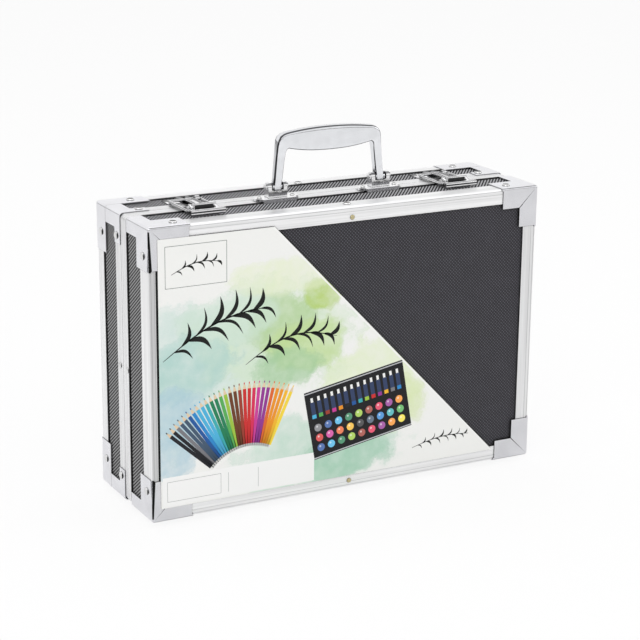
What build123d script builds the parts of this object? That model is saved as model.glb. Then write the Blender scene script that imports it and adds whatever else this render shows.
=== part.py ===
from build123d import *
import math
import os

# Case body, in millimetres. X runs along the width, Y from front to back, Z up from the feet.
case_width = 320.0
case_height = 217.0
front_depth = 50.5
back_depth = 45.5
foot_height = 4.2

# Sheet and board thicknesses, stacked inwards from the outer planes of the case
plate_thickness = 0.6
trim_thickness = 1.0
board_thickness = 2.8
bond_gap = 0.05
seam_gap = 0.15

# Corner rounding along the depth, and on the nose of the edge trims
board_corner_radius = 2.5
trim_nose_radius = 1.6
trim_corner_radius = 2.2

# Edge trims and seam rims
trim_face_width = 12.0
front_trim_side_width = 15.5
back_trim_side_width = 12.0
rim_width = 10.1
rim_inner_leg = 8.0

# Corner plates: legs on the face, on the sides, and along the depth edge
front_face_leg = 31.0
front_face_leg_width = 16.0
front_side_leg = 32.0
front_side_leg_width = 20.5
front_depth_leg_width = 11.0
front_depth_leg_end = 12.0
back_side_leg = 35.0
back_side_leg_width = 18.0
rim_cap_depth = 29.0
rim_cap_width = 12.0
rim_cap_leg = 23.0
corner_split_width = 2.2

# Rivets
rivet_head_radius = 2.9
rivet_head_height = 1.0
rivet_shank_radius = 1.2
small_rivet_head_radius = 1.8
small_rivet_head_height = 0.9
small_rivet_shank_radius = 0.8
front_rivet_drop = 21.8
back_rivet_drop = 21.0
rivet_inset_x = 23.0
rivet_from_face = 9.5
cap_rivet_drop = 17.5
cap_rivet_depth = 7.0
face_rivet_drop_top = 8.8
face_rivet_rise_bottom = 5.5

# Feet
foot_radius = 5.5
front_foot_from_side = 42.0
back_foot_from_side = 62.0
front_foot_depth = 27.5
back_foot_depth = 25.0

# Bottom hinges
hinge_from_side = 65.0
hinge_length = 36.0
hinge_leaf_width = 9.0
hinge_leaf_thickness = 0.8
hinge_drop = 1.8
hinge_knuckle_radius = 1.9
hinge_pin_radius = 0.8
hinge_knuckles = 5
hinge_knuckle_gap = 0.2

# Handle, seen from the front: sizes are from the pin axis up and from its middle outwards
handle_x = 3.4
handle_leg_x = 43.0
handle_rise = 42.1
handle_depth = 6.0
handle_grip_depth = 8.0
handle_foot_width = 8.2
handle_leg_width = 6.6
handle_foot_height = 4.6
handle_shoulder_x = 43.2
handle_crown = 3.4
handle_grip_height = 17.8
handle_grip_dip = 3.6
handle_corner_radius = 8.0
handle_pin_y = -3.0
handle_pin_above_top = 9.0
handle_foot_clearance = 0.9
handle_edge_radius = 1.6

# Handle brackets
bracket_half_length = 17.6
bracket_front_half = 13.6
bracket_thickness = 2.0
bracket_front_y = -10.6
bracket_back_y = 1.4
bracket_skirt = 1.0
bracket_rivet_x = 13.4
ear_gap = 0.7
ear_thickness = 2.8
ear_radius = 3.4
handle_pin_radius = 1.4
handle_pin_head_radius = 2.4
handle_pin_head = 1.4

# Draw latches, in X from the middle of each latch
latch_from_side = 55.5
latch_lever_half = 10.8
latch_lip_half = 13.4
latch_lever_front_y = -27.5
latch_lever_back_y = -15.4
latch_lip_depth = 4.0
latch_sheet = 0.8
latch_pivot_y = -12.5
latch_pivot_rise = 3.0
latch_pin_radius = 0.9
latch_side_gap = 0.2
latch_ear_radius = 1.9
latch_draw = 7.0
latch_wire_radius = 1.0
latch_rail_x = 12.4
latch_window_half = 7.2
latch_window_depth = 4.4
latch_base_half = 10.9
latch_base_front_y = -26.4
latch_base_back_y = -9.4
latch_base_rivet_x = 5.0
latch_base_rivet_y = -19.0
catch_half = 12.0
catch_hook_half = 6.5
catch_front_y = 13.0
catch_back_y = 30.0
catch_hook_height = 4.6
catch_rivet_x = 7.5
catch_rivet_y = 24.0

# Label card on the front face
card_thickness = 0.3
card_left_inset = 7.0
card_top_drop = 9.0
card_bottom_rise = 10.0
card_top_width = 90.0
card_cut_from_right = 34.0

# Trays
tray_wall = 1.2
lower_tray_rim = 22.0
lower_tray_play = 0.4
upper_tray_top = 3.5
upper_tray_floor = 20.5
upper_tray_side_gap = 5.6
upper_tray_edge_gap = 3.1
rib_height = 9.0
pull_tab_half = 15.0
pull_tab_top = 1.5
pull_tab_bottom = 12.0

# Swing arms of the upper trays
arm_width = 8.0
arm_thickness = 1.0
arm_stagger = 13.0
arm_wall_pivot_drop = 30.5
arm_tray_pivot_rise = 19.5
arm_depth = 13.0
arm_from_tray = 1.6
arm_pin_radius = 1.6
arm_pin_head_radius = 2.8
arm_pin_head = 0.8
running_gap = 0.05

# Contents: counts, and the gaps that set each piece's size from the bay it lies in
pencil_count = 32
pencil_tip = 16.0
pencil_low_gap = 3.0
pencil_point_gap = 21.6
pencil_side_gap = 1.6
pencil_gap = 2.2
crayon_rows = 3
crayon_count = 16
crayon_tip = 8.0
crayon_side_gap = 1.0
crayon_edge_gap = 4.9
crayon_end_gap = 14.0
crayon_gap = 3.2
tube_rows = 4
tube_count = 6
tube_share = 0.556
tube_side_gap = 4.0
tube_end_gap = 8.0
tube_shoulder_gap = 5.0
tube_tail_gap = 2.0
tube_tail_thickness = 1.2
cap_radius = 4.5
cap_length = 9.0
pastel_count = 7
pastel_end_gap = 18.2
pastel_row_gap = 13.0
pastel_gap = 2.4
pan_columns = 6
pan_rows = 4
pan_spacing = 25.0
pan_gap = 4.0
pan_height = 5.0
bay_gap = 1.0
palette_radius = 25.0
palette_height = 7.0
tool_end_gap = 6.0
brush_length = 165.0
brush_radius = 2.6
brush_spacing = 11.0
brush_count = 3
round_gap = 0.2
accessory_count = 3
sharpener_length = 15.0
sharpener_width = 25.0
sharpener_height = 11.0
sharpener_bore_radius = 3.9
eraser_length = 18.0
eraser_width = 42.0
eraser_height = 9.0
sponge_length = 26.0
sponge_width = 48.0
sponge_height = 12.0

# Places that follow from the sizes above
half_width = case_width / 2
seam_y = (front_depth - back_depth) / 2
bottom_z = foot_height
top_z = foot_height + case_height
middle_z = foot_height + case_height / 2
trim_inset = plate_thickness
board_inset = plate_thickness + trim_thickness
inner_inset = board_inset + board_thickness
rim_top_z = top_z - trim_inset
strip_top_z = top_z - board_inset
strip_bottom_z = bottom_z + board_inset
front_foot_x = half_width - front_foot_from_side
back_foot_x = half_width - back_foot_from_side
hinge_x = half_width - hinge_from_side
latch_x = half_width - latch_from_side
card_left_x = card_left_inset - half_width
card_cut_top_x = card_left_x + card_top_width
card_cut_bottom_x = half_width - card_cut_from_right

# Trays: outer half sizes, and the room between their walls
lower_half_length = half_width - inner_inset - lower_tray_play
lower_half_width = case_height / 2 - inner_inset - lower_tray_play
lower_room_length = 2 * (lower_half_length - tray_wall)
lower_room_width = 2 * (lower_half_width - tray_wall)
upper_tray_half_length = half_width - inner_inset - upper_tray_side_gap
upper_tray_half_width = case_height / 2 - inner_inset - upper_tray_edge_gap
upper_room_length = 2 * (upper_tray_half_length - tray_wall)
upper_room_width = 2 * (upper_tray_half_width - tray_wall)
arm_reach = case_height - arm_wall_pivot_drop - arm_tray_pivot_rise
arm_length = (arm_reach - arm_stagger) / 2
arm_spacing = arm_length + arm_stagger

# Contents: spacings and sizes from the room in their bays
pencil_length = upper_room_width - pencil_low_gap - pencil_point_gap
pencil_pitch = (upper_room_length - 2 * pencil_side_gap) / pencil_count
pencil_flat = pencil_pitch - pencil_gap
crayon_row_pitch = (lower_room_length - 2 * crayon_side_gap) / crayon_rows
crayon_pitch = (lower_room_width - 2 * crayon_edge_gap) / crayon_count
crayon_length = crayon_row_pitch - crayon_end_gap
crayon_radius = (crayon_pitch - crayon_gap) / 2
tube_row_pitch = (lower_room_length - 2 * tube_side_gap) / tube_rows
tube_pitch = lower_room_width * tube_share / tube_count
tube_length = tube_row_pitch - cap_length - tube_end_gap
tube_radius = (tube_pitch - tube_shoulder_gap) / 2
tube_tail_width = tube_pitch - tube_tail_gap
pastel_pitch = (lower_room_width * (1 - tube_share) - pastel_end_gap) / pastel_count
pastel_size = pastel_pitch - pastel_gap
pastel_length = tube_row_pitch - pastel_row_gap
pan_radius = (pan_spacing - pan_gap) / 2


def block(x, y, z):
    """A box between two limits on each axis, in any order."""
    spans = [sorted(pair) for pair in (x, y, z)]
    sizes = [high - low for low, high in spans]
    middles = [(high + low) / 2 for low, high in spans]
    return Pos(*middles) * Box(*sizes)


def extrude_y(outline, y_one, y_two):
    """An outline drawn in X and Z, made solid between two Y planes."""
    low, high = sorted((y_one, y_two))
    plane = Plane(origin=(0, high, 0), x_dir=(1, 0, 0), z_dir=(0, -1, 0))
    return extrude(plane * outline, amount=high - low, dir=(0, -1, 0))


def extrude_x(outline, x_one, x_two):
    """An outline drawn in Y and Z, made solid between two X planes."""
    low, high = sorted((x_one, x_two))
    plane = Plane(origin=(low, 0, 0), x_dir=(0, 1, 0), z_dir=(1, 0, 0))
    return extrude(plane * outline, amount=high - low, dir=(1, 0, 0))


def extrude_z(outline, z_one, z_two):
    """An outline drawn in X and Y, made solid between two Z planes."""
    low, high = sorted((z_one, z_two))
    return extrude(Plane(origin=(0, 0, low)) * outline, amount=high - low, dir=(0, 0, 1))


def rod(start, end, radius):
    """A round bar between two points."""
    axis = Vector(*end) - Vector(*start)
    plane = Plane(origin=start, z_dir=axis)
    return extrude(plane * Circle(radius), amount=axis.length)


class Half:
    """One shallow half of the case. Depths are counted from the seam into the half."""

    def __init__(self, name, sign, depth, trim_side_width):
        self.name = name
        self.sign = sign
        self.depth = depth
        self.trim_side_width = trim_side_width
        self.inner_depth = depth - inner_inset

    def y(self, depth):
        return seam_y + self.sign * depth

    def plan(self, inset, radius, depth_one, depth_two):
        """The case's rounded outline, drawn in by an inset, between two depths."""
        outline = RectangleRounded(case_width - 2 * inset, case_height - 2 * inset, radius)
        return extrude_y(Pos(0, middle_z) * outline, self.y(depth_one), self.y(depth_two))

    def nosed(self, inset, corner_radius, nose_radius, depth_one):
        """The same outline up to the outer face, with the face's rim rounded."""
        body = self.plan(inset, corner_radius, depth_one, self.depth - inset)
        faces = body.faces().sort_by(Axis.Y)
        face = faces[-1] if self.sign > 0 else faces[0]
        return fillet(face.edges(), nose_radius)


front = Half("front", -1, front_depth, front_trim_side_width)
back = Half("back", 1, back_depth, back_trim_side_width)


def mirrored_corners(corner):
    """A piece at the top right corner, and its copies at the other three."""
    level = Plane(origin=(0, 0, middle_z), z_dir=(0, 0, 1))
    both = [corner, mirror(corner, about=Plane.YZ)]
    return both + [mirror(piece, about=level) for piece in both]


def wedges():
    """Top, bottom, right and left quarters, cut at 45 degrees through the case's corners."""
    reach = case_height / 2
    over = 5.0
    w, h = half_width + over, reach + over
    top = Polygon((-w, h), (w, h), (half_width - reach, 0), (reach - half_width, 0), align=None)
    side = Polygon((w, h), (w, -h), (half_width - reach, 0), align=None)
    depth = 2 * max(front_depth, back_depth)
    level = Plane(origin=(0, 0, middle_z), z_dir=(0, 0, 1))
    upper = extrude_y(Pos(0, middle_z) * top, -depth, depth)
    right = extrude_y(Pos(0, middle_z) * side, -depth, depth)
    return {
        "long": [upper, mirror(upper, about=level)],
        "short": [right, mirror(right, about=Plane.YZ)],
    }


def face_direction(axis):
    """The turn that takes +Z to the given outward direction."""
    turns = {
        "+z": Rot(0, 0, 0),
        "-z": Rot(180, 0, 0),
        "+x": Rot(0, 90, 0),
        "-x": Rot(0, -90, 0),
        "+y": Rot(-90, 0, 0),
        "-y": Rot(90, 0, 0),
    }
    return turns[axis]


class Rivet:
    """A domed rivet: a point on the surface it seats on, the way it faces, and its grip."""

    def __init__(self, point, axis, grip, small=False):
        self.place = Pos(*point) * face_direction(axis)
        self.grip = grip
        self.head_radius = small_rivet_head_radius if small else rivet_head_radius
        self.head_height = small_rivet_head_height if small else rivet_head_height
        self.shank_radius = small_rivet_shank_radius if small else rivet_shank_radius

    def solid(self):
        head = Pos(0, 0, self.head_height / 2) * Cylinder(self.head_radius, self.head_height)
        edge = head.edges().filter_by(GeomType.CIRCLE).sort_by(Axis.Z)[-1]
        head = fillet(edge, self.head_height * 0.9)
        shank = Pos(0, 0, -self.grip / 2) * Cylinder(self.shank_radius, self.grip)
        return self.place * (head + shank)

    def hole(self):
        length = self.grip + 2 * self.head_height
        drill = Pos(0, 0, -self.grip / 2) * Cylinder(self.shank_radius + running_gap, length)
        return self.place * drill


def corner_rivets(half):
    """Rivets through the corner plates, top and bottom, left and right."""
    rivets = []
    face_depth = half.depth - rivet_from_face
    drop = front_rivet_drop if half.sign < 0 else back_rivet_drop
    for side in (-1, 1):
        x_way = "+x" if side > 0 else "-x"
        for end in (-1, 1):
            z_way = "+z" if end > 0 else "-z"
            edge_z = middle_z + end * case_height / 2
            side_point = (side * half_width, half.y(face_depth), edge_z - end * drop)
            rivets.append(Rivet(side_point, x_way, inner_inset))
            end_point = (side * (half_width - rivet_inset_x), half.y(face_depth), edge_z)
            rivets.append(Rivet(end_point, z_way, inner_inset))
            if half.sign > 0:
                cap_y = half.y(cap_rivet_depth)
                cap_side = (side * half_width, cap_y, edge_z - end * cap_rivet_drop)
                cap_end = (side * (half_width - cap_rivet_drop), cap_y, edge_z)
                rivets.append(Rivet(cap_side, x_way, inner_inset))
                rivets.append(Rivet(cap_end, z_way, inner_inset))
    return rivets


def middle_rivets(half):
    """Rivets at the middle of the long trims, on the face and on the top and bottom."""
    grip = inner_inset - trim_inset
    face_way = "+y" if half.sign > 0 else "-y"
    side_y = half.y(half.depth - rivet_from_face)
    face_y = half.y(half.depth - trim_inset)
    return [
        Rivet((0, side_y, top_z - trim_inset), "+z", grip),
        Rivet((0, side_y, bottom_z + trim_inset), "-z", grip),
        Rivet((0, face_y, top_z - face_rivet_drop_top), face_way, grip, small=True),
        Rivet((0, face_y, bottom_z + face_rivet_rise_bottom), face_way, grip, small=True),
    ]


def hinge_rivets(half):
    """Two small rivets through each hinge leaf, the rim and the bottom board."""
    leaf_z = bottom_z + trim_inset - hinge_leaf_thickness
    grip = inner_inset - trim_inset + hinge_leaf_thickness
    rivets = []
    for side in (-1, 1):
        for end in (-1, 1):
            x = side * hinge_x + end * hinge_length / 3
            point = (x, half.y(hinge_leaf_width - 3.0), leaf_z)
            rivets.append(Rivet(point, "-z", grip, small=True))
    return rivets


def bracket_rivets():
    """Rivets at both ends of each handle bracket."""
    rivets = []
    grip = inner_inset - trim_inset + bracket_thickness
    for side in (-1, 1):
        for end in (-1, 1):
            x = handle_x + side * handle_leg_x + end * bracket_rivet_x
            point = (x, handle_pin_y, rim_top_z + bracket_thickness)
            rivets.append(Rivet(point, "+z", grip, small=True))
    return rivets


def latch_rivets():
    """Rivets through the latch base plates into the front top board."""
    grip = board_thickness + latch_sheet
    rivets = []
    for side in (-1, 1):
        for end in (-1, 1):
            x = side * latch_x + end * latch_base_rivet_x
            point = (x, latch_base_rivet_y, strip_top_z + latch_sheet)
            rivets.append(Rivet(point, "+z", grip, small=True))
    return rivets


def catch_rivets():
    """Rivets through the catch plates into the back top board."""
    grip = board_thickness + latch_sheet
    rivets = []
    for side in (-1, 1):
        for end in (-1, 1):
            x = side * latch_x + end * catch_rivet_x
            point = (x, catch_rivet_y, strip_top_z + latch_sheet)
            rivets.append(Rivet(point, "+z", grip, small=True))
    return rivets


def drilled(solid, rivets):
    """A piece with the holes of the rivets that reach it."""
    box = solid.bounding_box()
    near = []
    for rivet in rivets:
        hole = rivet.hole()
        other = hole.bounding_box()
        apart = any(
            getattr(other.min, axis) > getattr(box.max, axis)
            or getattr(other.max, axis) < getattr(box.min, axis)
            for axis in ("X", "Y", "Z")
        )
        if not apart:
            near.append(hole)
    return solid - near if near else solid


def panel(half, rivets):
    """The main board with its textured outer face."""
    board = half.plan(board_inset, board_corner_radius, half.inner_depth, half.depth - board_inset)
    return [drilled(board, rivets)]


def walls(half, which, rivets):
    """Wall boards, mitred at the corners, from the main board to the seam rim."""
    start = seam_gap + trim_thickness + bond_gap
    ring = half.plan(board_inset, board_corner_radius, start, half.inner_depth)
    ring -= half.plan(inner_inset, board_corner_radius / 4, start, half.inner_depth)
    return [drilled(ring & wedge, rivets) for wedge in wedges()[which]]


def trims(half, which, rivets):
    """Edge trims of L section round the outer face, mitred at the corners."""
    start = half.depth - half.trim_side_width
    ring = half.nosed(trim_inset, trim_corner_radius, trim_nose_radius, start)
    ring -= half.plan(board_inset, board_corner_radius / 4, start, half.depth - board_inset)
    ring -= half.plan(trim_face_width, board_corner_radius / 4, start, half.depth)
    return [drilled(ring & wedge, rivets) for wedge in wedges()[which]]


def rim(half, rivets):
    """The channel round the seam: an outer leg, a lip over the board ends and an inner leg."""
    outer = trim_inset
    outer_radius = board_corner_radius + trim_thickness
    inside = board_inset - bond_gap
    inner_leg_out = inner_inset + bond_gap
    inner_leg_in = inner_leg_out + trim_thickness
    small = board_corner_radius / 4
    lip = seam_gap + trim_thickness
    ring = half.plan(outer, outer_radius, seam_gap, rim_width)
    ring -= half.plan(inside, board_corner_radius + bond_gap, lip, rim_width)
    ring -= half.plan(inner_leg_in, small, seam_gap, lip)
    leg = half.plan(inner_leg_out, small, lip, rim_inner_leg)
    leg -= half.plan(inner_leg_in, small, lip, rim_inner_leg)
    return [drilled(ring + leg, rivets)]


def corner_shell(half, depth_one):
    """The thin sheet skin that the corner plates are cut from."""
    skin = half.nosed(0, trim_corner_radius, trim_nose_radius, depth_one)
    inner_corner = trim_corner_radius - plate_thickness
    inner_nose = trim_nose_radius - plate_thickness
    return skin - half.nosed(plate_thickness, inner_corner, inner_nose, depth_one)


def corner_plates(half, rivets):
    """Four stamped corners, each with a flap on the face, the side and the end."""
    is_front = half.sign < 0
    side_leg = front_side_leg if is_front else back_side_leg
    leg_width = front_side_leg_width if is_front else back_side_leg_width
    reach = half.depth - front_depth_leg_end if is_front else leg_width
    band = front_depth_leg_width if is_front else leg_width
    skin = trim_corner_radius
    x1, z1, d1 = half_width, top_z, half.depth
    y_face = (half.y(d1 - skin), half.y(d1))
    y_leg = (half.y(d1 - leg_width), half.y(d1))
    y_deep = (half.y(d1 - reach), half.y(d1))
    face_leg, face_width = front_face_leg, front_face_leg_width
    region = [
        block((x1 - face_leg, x1), y_face, (z1 - face_width, z1)),
        block((x1 - face_width, x1), y_face, (z1 - face_leg, z1)),
        block((x1 - skin, x1), y_leg, (z1 - side_leg, z1)),
        block((x1 - skin, x1), y_deep, (z1 - band, z1)),
        block((x1 - side_leg, x1), y_leg, (z1 - skin, z1)),
        block((x1 - band, x1), y_deep, (z1 - skin, z1)),
    ]
    kept = region[0]
    for more in region[1:]:
        kept += more
    plate = corner_shell(half, d1 - max(reach, leg_width) - 1) & kept
    split = Polygon(
        (half.y(d1), z1 - skin * 2),
        (half.y(d1) + half.sign, z1 - side_leg - 1),
        (half.y(d1 - corner_split_width), z1 - side_leg - 1),
        align=None,
    )
    plate -= extrude_x(split, x1 - plate_thickness, x1 + 1)
    return [drilled(piece, rivets) for piece in mirrored_corners(plate)]


def rim_caps(rivets):
    """Small caps over the depth edge and the seam rim, at the corners of the back half."""
    skin = trim_corner_radius
    start = seam_gap + 0.4
    x1, z1 = half_width, top_z
    y_rim = (back.y(start), back.y(rim_width))
    end = back.depth - back_side_leg_width - 0.3
    y_edge = (back.y(start), back.y(min(rim_cap_depth, end)))
    region = [
        block((x1 - skin, x1), y_edge, (z1 - rim_cap_width, z1)),
        block((x1 - skin, x1), y_rim, (z1 - rim_cap_leg, z1)),
        block((x1 - rim_cap_width, x1), y_edge, (z1 - skin, z1)),
        block((x1 - rim_cap_leg, x1), y_rim, (z1 - skin, z1)),
    ]
    kept = region[0]
    for more in region[1:]:
        kept += more
    inner_corner = trim_corner_radius - plate_thickness
    tube = back.plan(0, trim_corner_radius, 0, back.depth)
    tube -= back.plan(plate_thickness, inner_corner, 0, back.depth)
    cap = tube & kept
    return [drilled(piece, rivets) for piece in mirrored_corners(cap)]


def label_card():
    """The printed card on the front face, cut off along a diagonal."""
    top = top_z - card_top_drop
    bottom = bottom_z + card_bottom_rise
    outline = Polygon(
        (card_left_x, bottom),
        (card_cut_bottom_x, bottom),
        (card_cut_top_x, top),
        (card_left_x, top),
        align=None,
    )
    face_y = front.y(front.depth)
    return [extrude_y(outline, face_y - card_thickness, face_y)]


def feet(half):
    """Two moulded feet under the bottom board."""
    is_front = half.sign < 0
    x = front_foot_x if is_front else back_foot_x
    depth = front_foot_depth if is_front else back_foot_depth
    pad = Pos(0, 0, strip_bottom_z / 2) * Cylinder(foot_radius, strip_bottom_z)
    lower = pad.edges().filter_by(GeomType.CIRCLE).sort_by(Axis.Z)[0]
    pad = fillet(lower, 1.0)
    return [Pos(side * x, half.y(depth), 0) * pad for side in (-1, 1)]


def hinge_leaf(half, rivets):
    """One leaf of each bottom hinge, with every second knuckle."""
    leaf_high = bottom_z + trim_inset
    leaf_low = leaf_high - hinge_leaf_thickness
    axis_z = leaf_low - hinge_drop + running_gap
    pitch = hinge_length / hinge_knuckles
    first = 0 if half.sign > 0 else 1
    leaves = []
    for side in (-1, 1):
        middle = side * hinge_x
        x_span = (middle - hinge_length / 2, middle + hinge_length / 2)
        y_near = half.y(hinge_knuckle_radius + 2 * hinge_knuckle_gap)
        leaf = block(x_span, (y_near, half.y(hinge_leaf_width)), (leaf_low, leaf_high))
        for index in range(first, hinge_knuckles, 2):
            low = x_span[0] + index * pitch + hinge_knuckle_gap / 2
            high = low + pitch - hinge_knuckle_gap
            knuckle = rod((low, seam_y, axis_z), (high, seam_y, axis_z), hinge_knuckle_radius)
            web = block((low, high), (half.y(0.3), y_near), (leaf_low, leaf_high))
            leg = block((low, high), (half.y(0.3), half.y(1.2)), (axis_z, leaf_high))
            leaf += knuckle + web + leg
        bore = hinge_pin_radius + running_gap
        leaf -= rod((x_span[0] - 1, seam_y, axis_z), (x_span[1] + 1, seam_y, axis_z), bore)
        leaves.append(drilled(leaf, rivets))
    return leaves


def hinge_pins():
    """The two hinge pins."""
    axis_z = bottom_z + trim_inset - hinge_leaf_thickness - hinge_drop + running_gap
    pins = []
    for side in (-1, 1):
        low = side * hinge_x - hinge_length / 2
        start = (low, seam_y, axis_z)
        end = (low + hinge_length, seam_y, axis_z)
        pins.append(rod(start, end, hinge_pin_radius))
    return pins


def handle_outline():
    """The handle from the front: a bow with a lens-shaped grip and two splayed legs."""
    pin_z = top_z + handle_pin_above_top
    crown_z = pin_z + handle_rise
    foot_in = handle_leg_x - handle_leg_width / 2
    foot_out = handle_leg_x + handle_leg_width / 2
    neck_z = pin_z + handle_foot_height
    top_out = (handle_shoulder_x, crown_z - handle_crown - handle_corner_radius)
    top_in = (handle_shoulder_x - handle_corner_radius, crown_z - handle_crown)
    inner_x = handle_shoulder_x - handle_leg_width + 0.2
    dip_z = crown_z - handle_grip_height
    inner_corner = (inner_x, dip_z + handle_grip_dip - 2.5)
    inner_top = (inner_x - 2.5, dip_z + handle_grip_dip)
    crown = ThreePointArc(top_in, (0, crown_z), (-top_in[0], top_in[1]))
    right_turn = TangentArc(top_in, top_out, tangent=(1, -0.19))
    left_turn = TangentArc((-top_in[0], top_in[1]), (-top_out[0], top_out[1]), tangent=(-1, -0.19))
    dip = ThreePointArc(inner_top, (0, dip_z), (-inner_top[0], inner_top[1]))
    lines = [
        crown,
        right_turn,
        Line(right_turn @ 1, (foot_out, neck_z)),
        Line((foot_out, neck_z), (foot_in, neck_z)),
        Line((foot_in, neck_z), inner_corner),
        Line(inner_corner, inner_top),
        dip,
        Line((-inner_top[0], inner_top[1]), (-inner_corner[0], inner_corner[1])),
        Line((-inner_corner[0], inner_corner[1]), (-foot_in, neck_z)),
        Line((-foot_in, neck_z), (-foot_out, neck_z)),
        Line((-foot_out, neck_z), left_turn @ 1),
        left_turn,
    ]
    return make_face(Wire(lines))


def handle():
    """The carrying handle with a bored foot at the end of each leg."""
    pin_z = top_z + handle_pin_above_top
    half_depth = handle_depth / 2
    bow = extrude_y(handle_outline(), handle_pin_y - half_depth, handle_pin_y + half_depth)
    long_edges = bow.edges().filter_by(GeomType.LINE, reverse=True)
    bow = fillet(long_edges, handle_edge_radius)
    foot_outline = Pos(handle_pin_y, pin_z) * Circle(half_depth)
    neck = Pos(handle_pin_y, pin_z + handle_foot_height / 2) * Rectangle(handle_depth, handle_foot_height)
    bore_radius = handle_pin_radius + running_gap
    for side in (-1, 1):
        low = side * handle_leg_x - handle_foot_width / 2
        foot = extrude_x(foot_outline + neck, low, low + handle_foot_width)
        bow += foot
        high = low + handle_foot_width
        bow -= rod((low - 1, handle_pin_y, pin_z), (high + 1, handle_pin_y, pin_z), bore_radius)
    return [Pos(handle_x, 0, 0) * bow]


def bracket(middle_x, rivets):
    """A handle bracket: a base on the front rim, a skirt down its front and two ears."""
    base_z = rim_top_z
    top = base_z + bracket_thickness
    pin_z = top_z + handle_pin_above_top
    mid_y = handle_pin_y
    tab_half = min(bracket_back_y - mid_y, mid_y - bracket_front_y)
    tab = SlotOverall(2 * bracket_half_length, 2 * tab_half)
    base = extrude_z(Pos(middle_x, mid_y) * tab, base_z, top)
    x_front = (middle_x - bracket_front_half, middle_x + bracket_front_half)
    base += block(x_front, (bracket_front_y, mid_y), (base_z, top))
    skirt_y = (bracket_front_y, bracket_front_y + bracket_skirt)
    base += block(x_front, skirt_y, (strip_top_z + running_gap, top))
    foot_low = pin_z - handle_depth / 2 - handle_foot_clearance
    inner = handle_foot_width / 2 + ear_gap
    base += block(
        (middle_x - inner, middle_x + inner), (mid_y - ear_radius, mid_y + ear_radius), (top, foot_low)
    )
    ear_round = Pos(mid_y, pin_z) * Circle(ear_radius)
    ear_stem = Pos(mid_y, (pin_z + top) / 2) * Rectangle(2 * ear_radius, pin_z - top)
    for side in (-1, 1):
        near = middle_x + side * inner
        base += extrude_x(ear_round + ear_stem, near, near + side * ear_thickness)
    far = inner + ear_thickness + 1
    bore = handle_pin_radius + running_gap
    base -= rod((middle_x - far, mid_y, pin_z), (middle_x + far, mid_y, pin_z), bore)
    return drilled(base, rivets)


def brackets(rivets):
    """Both handle brackets."""
    return [bracket(handle_x + side * handle_leg_x, rivets) for side in (-1, 1)]


def handle_pins():
    """The pins through the bracket ears and the handle's feet, headed at both ends."""
    pin_z = top_z + handle_pin_above_top
    reach = handle_foot_width / 2 + ear_gap + ear_thickness
    pins = []
    for side in (-1, 1):
        x = handle_x + side * handle_leg_x
        pin = rod((x - reach, handle_pin_y, pin_z), (x + reach, handle_pin_y, pin_z), handle_pin_radius)
        for end in (-1, 1):
            start = (x + end * reach, handle_pin_y, pin_z)
            stop = (x + end * (reach + handle_pin_head), handle_pin_y, pin_z)
            pin += rod(start, stop, handle_pin_head_radius)
        pins.append(pin)
    return pins


def latch_pivot_z():
    return strip_top_z + latch_pivot_rise


def latch_base(middle_x, rivets):
    """The latch's base plate on the front strip, with two ears for the lever's pin."""
    low = strip_top_z
    top = low + latch_sheet
    pivot_z = latch_pivot_z()
    y_span = (latch_base_front_y, latch_base_back_y)
    base = block((middle_x - latch_base_half, middle_x + latch_base_half), y_span, (low, top))
    ear_out = latch_lever_half - latch_sheet - latch_side_gap
    ear_in = ear_out - latch_sheet
    ear_round = Pos(latch_pivot_y, pivot_z) * Circle(latch_ear_radius)
    stem = Pos(latch_pivot_y, (pivot_z + top) / 2) * Rectangle(2 * latch_ear_radius, pivot_z - top)
    for side in (-1, 1):
        base += extrude_x(ear_round + stem, middle_x + side * ear_in, middle_x + side * ear_out)
    bore = latch_pin_radius + running_gap
    reach = latch_lever_half + 1
    base -= rod((middle_x - reach, latch_pivot_y, pivot_z), (middle_x + reach, latch_pivot_y, pivot_z), bore)
    return drilled(base, rivets)


def latch_bases(rivets):
    """Both latch base plates."""
    return [latch_base(side * latch_x, rivets) for side in (-1, 1)]


def latch_pins():
    """The pins that the two latch levers turn on."""
    pivot_z = latch_pivot_z()
    reach = latch_lever_half + 0.3
    pins = []
    for side in (-1, 1):
        x = side * latch_x
        start = (x - reach, latch_pivot_y, pivot_z)
        pins.append(rod(start, (x + reach, latch_pivot_y, pivot_z), latch_pin_radius))
    return pins


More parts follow.
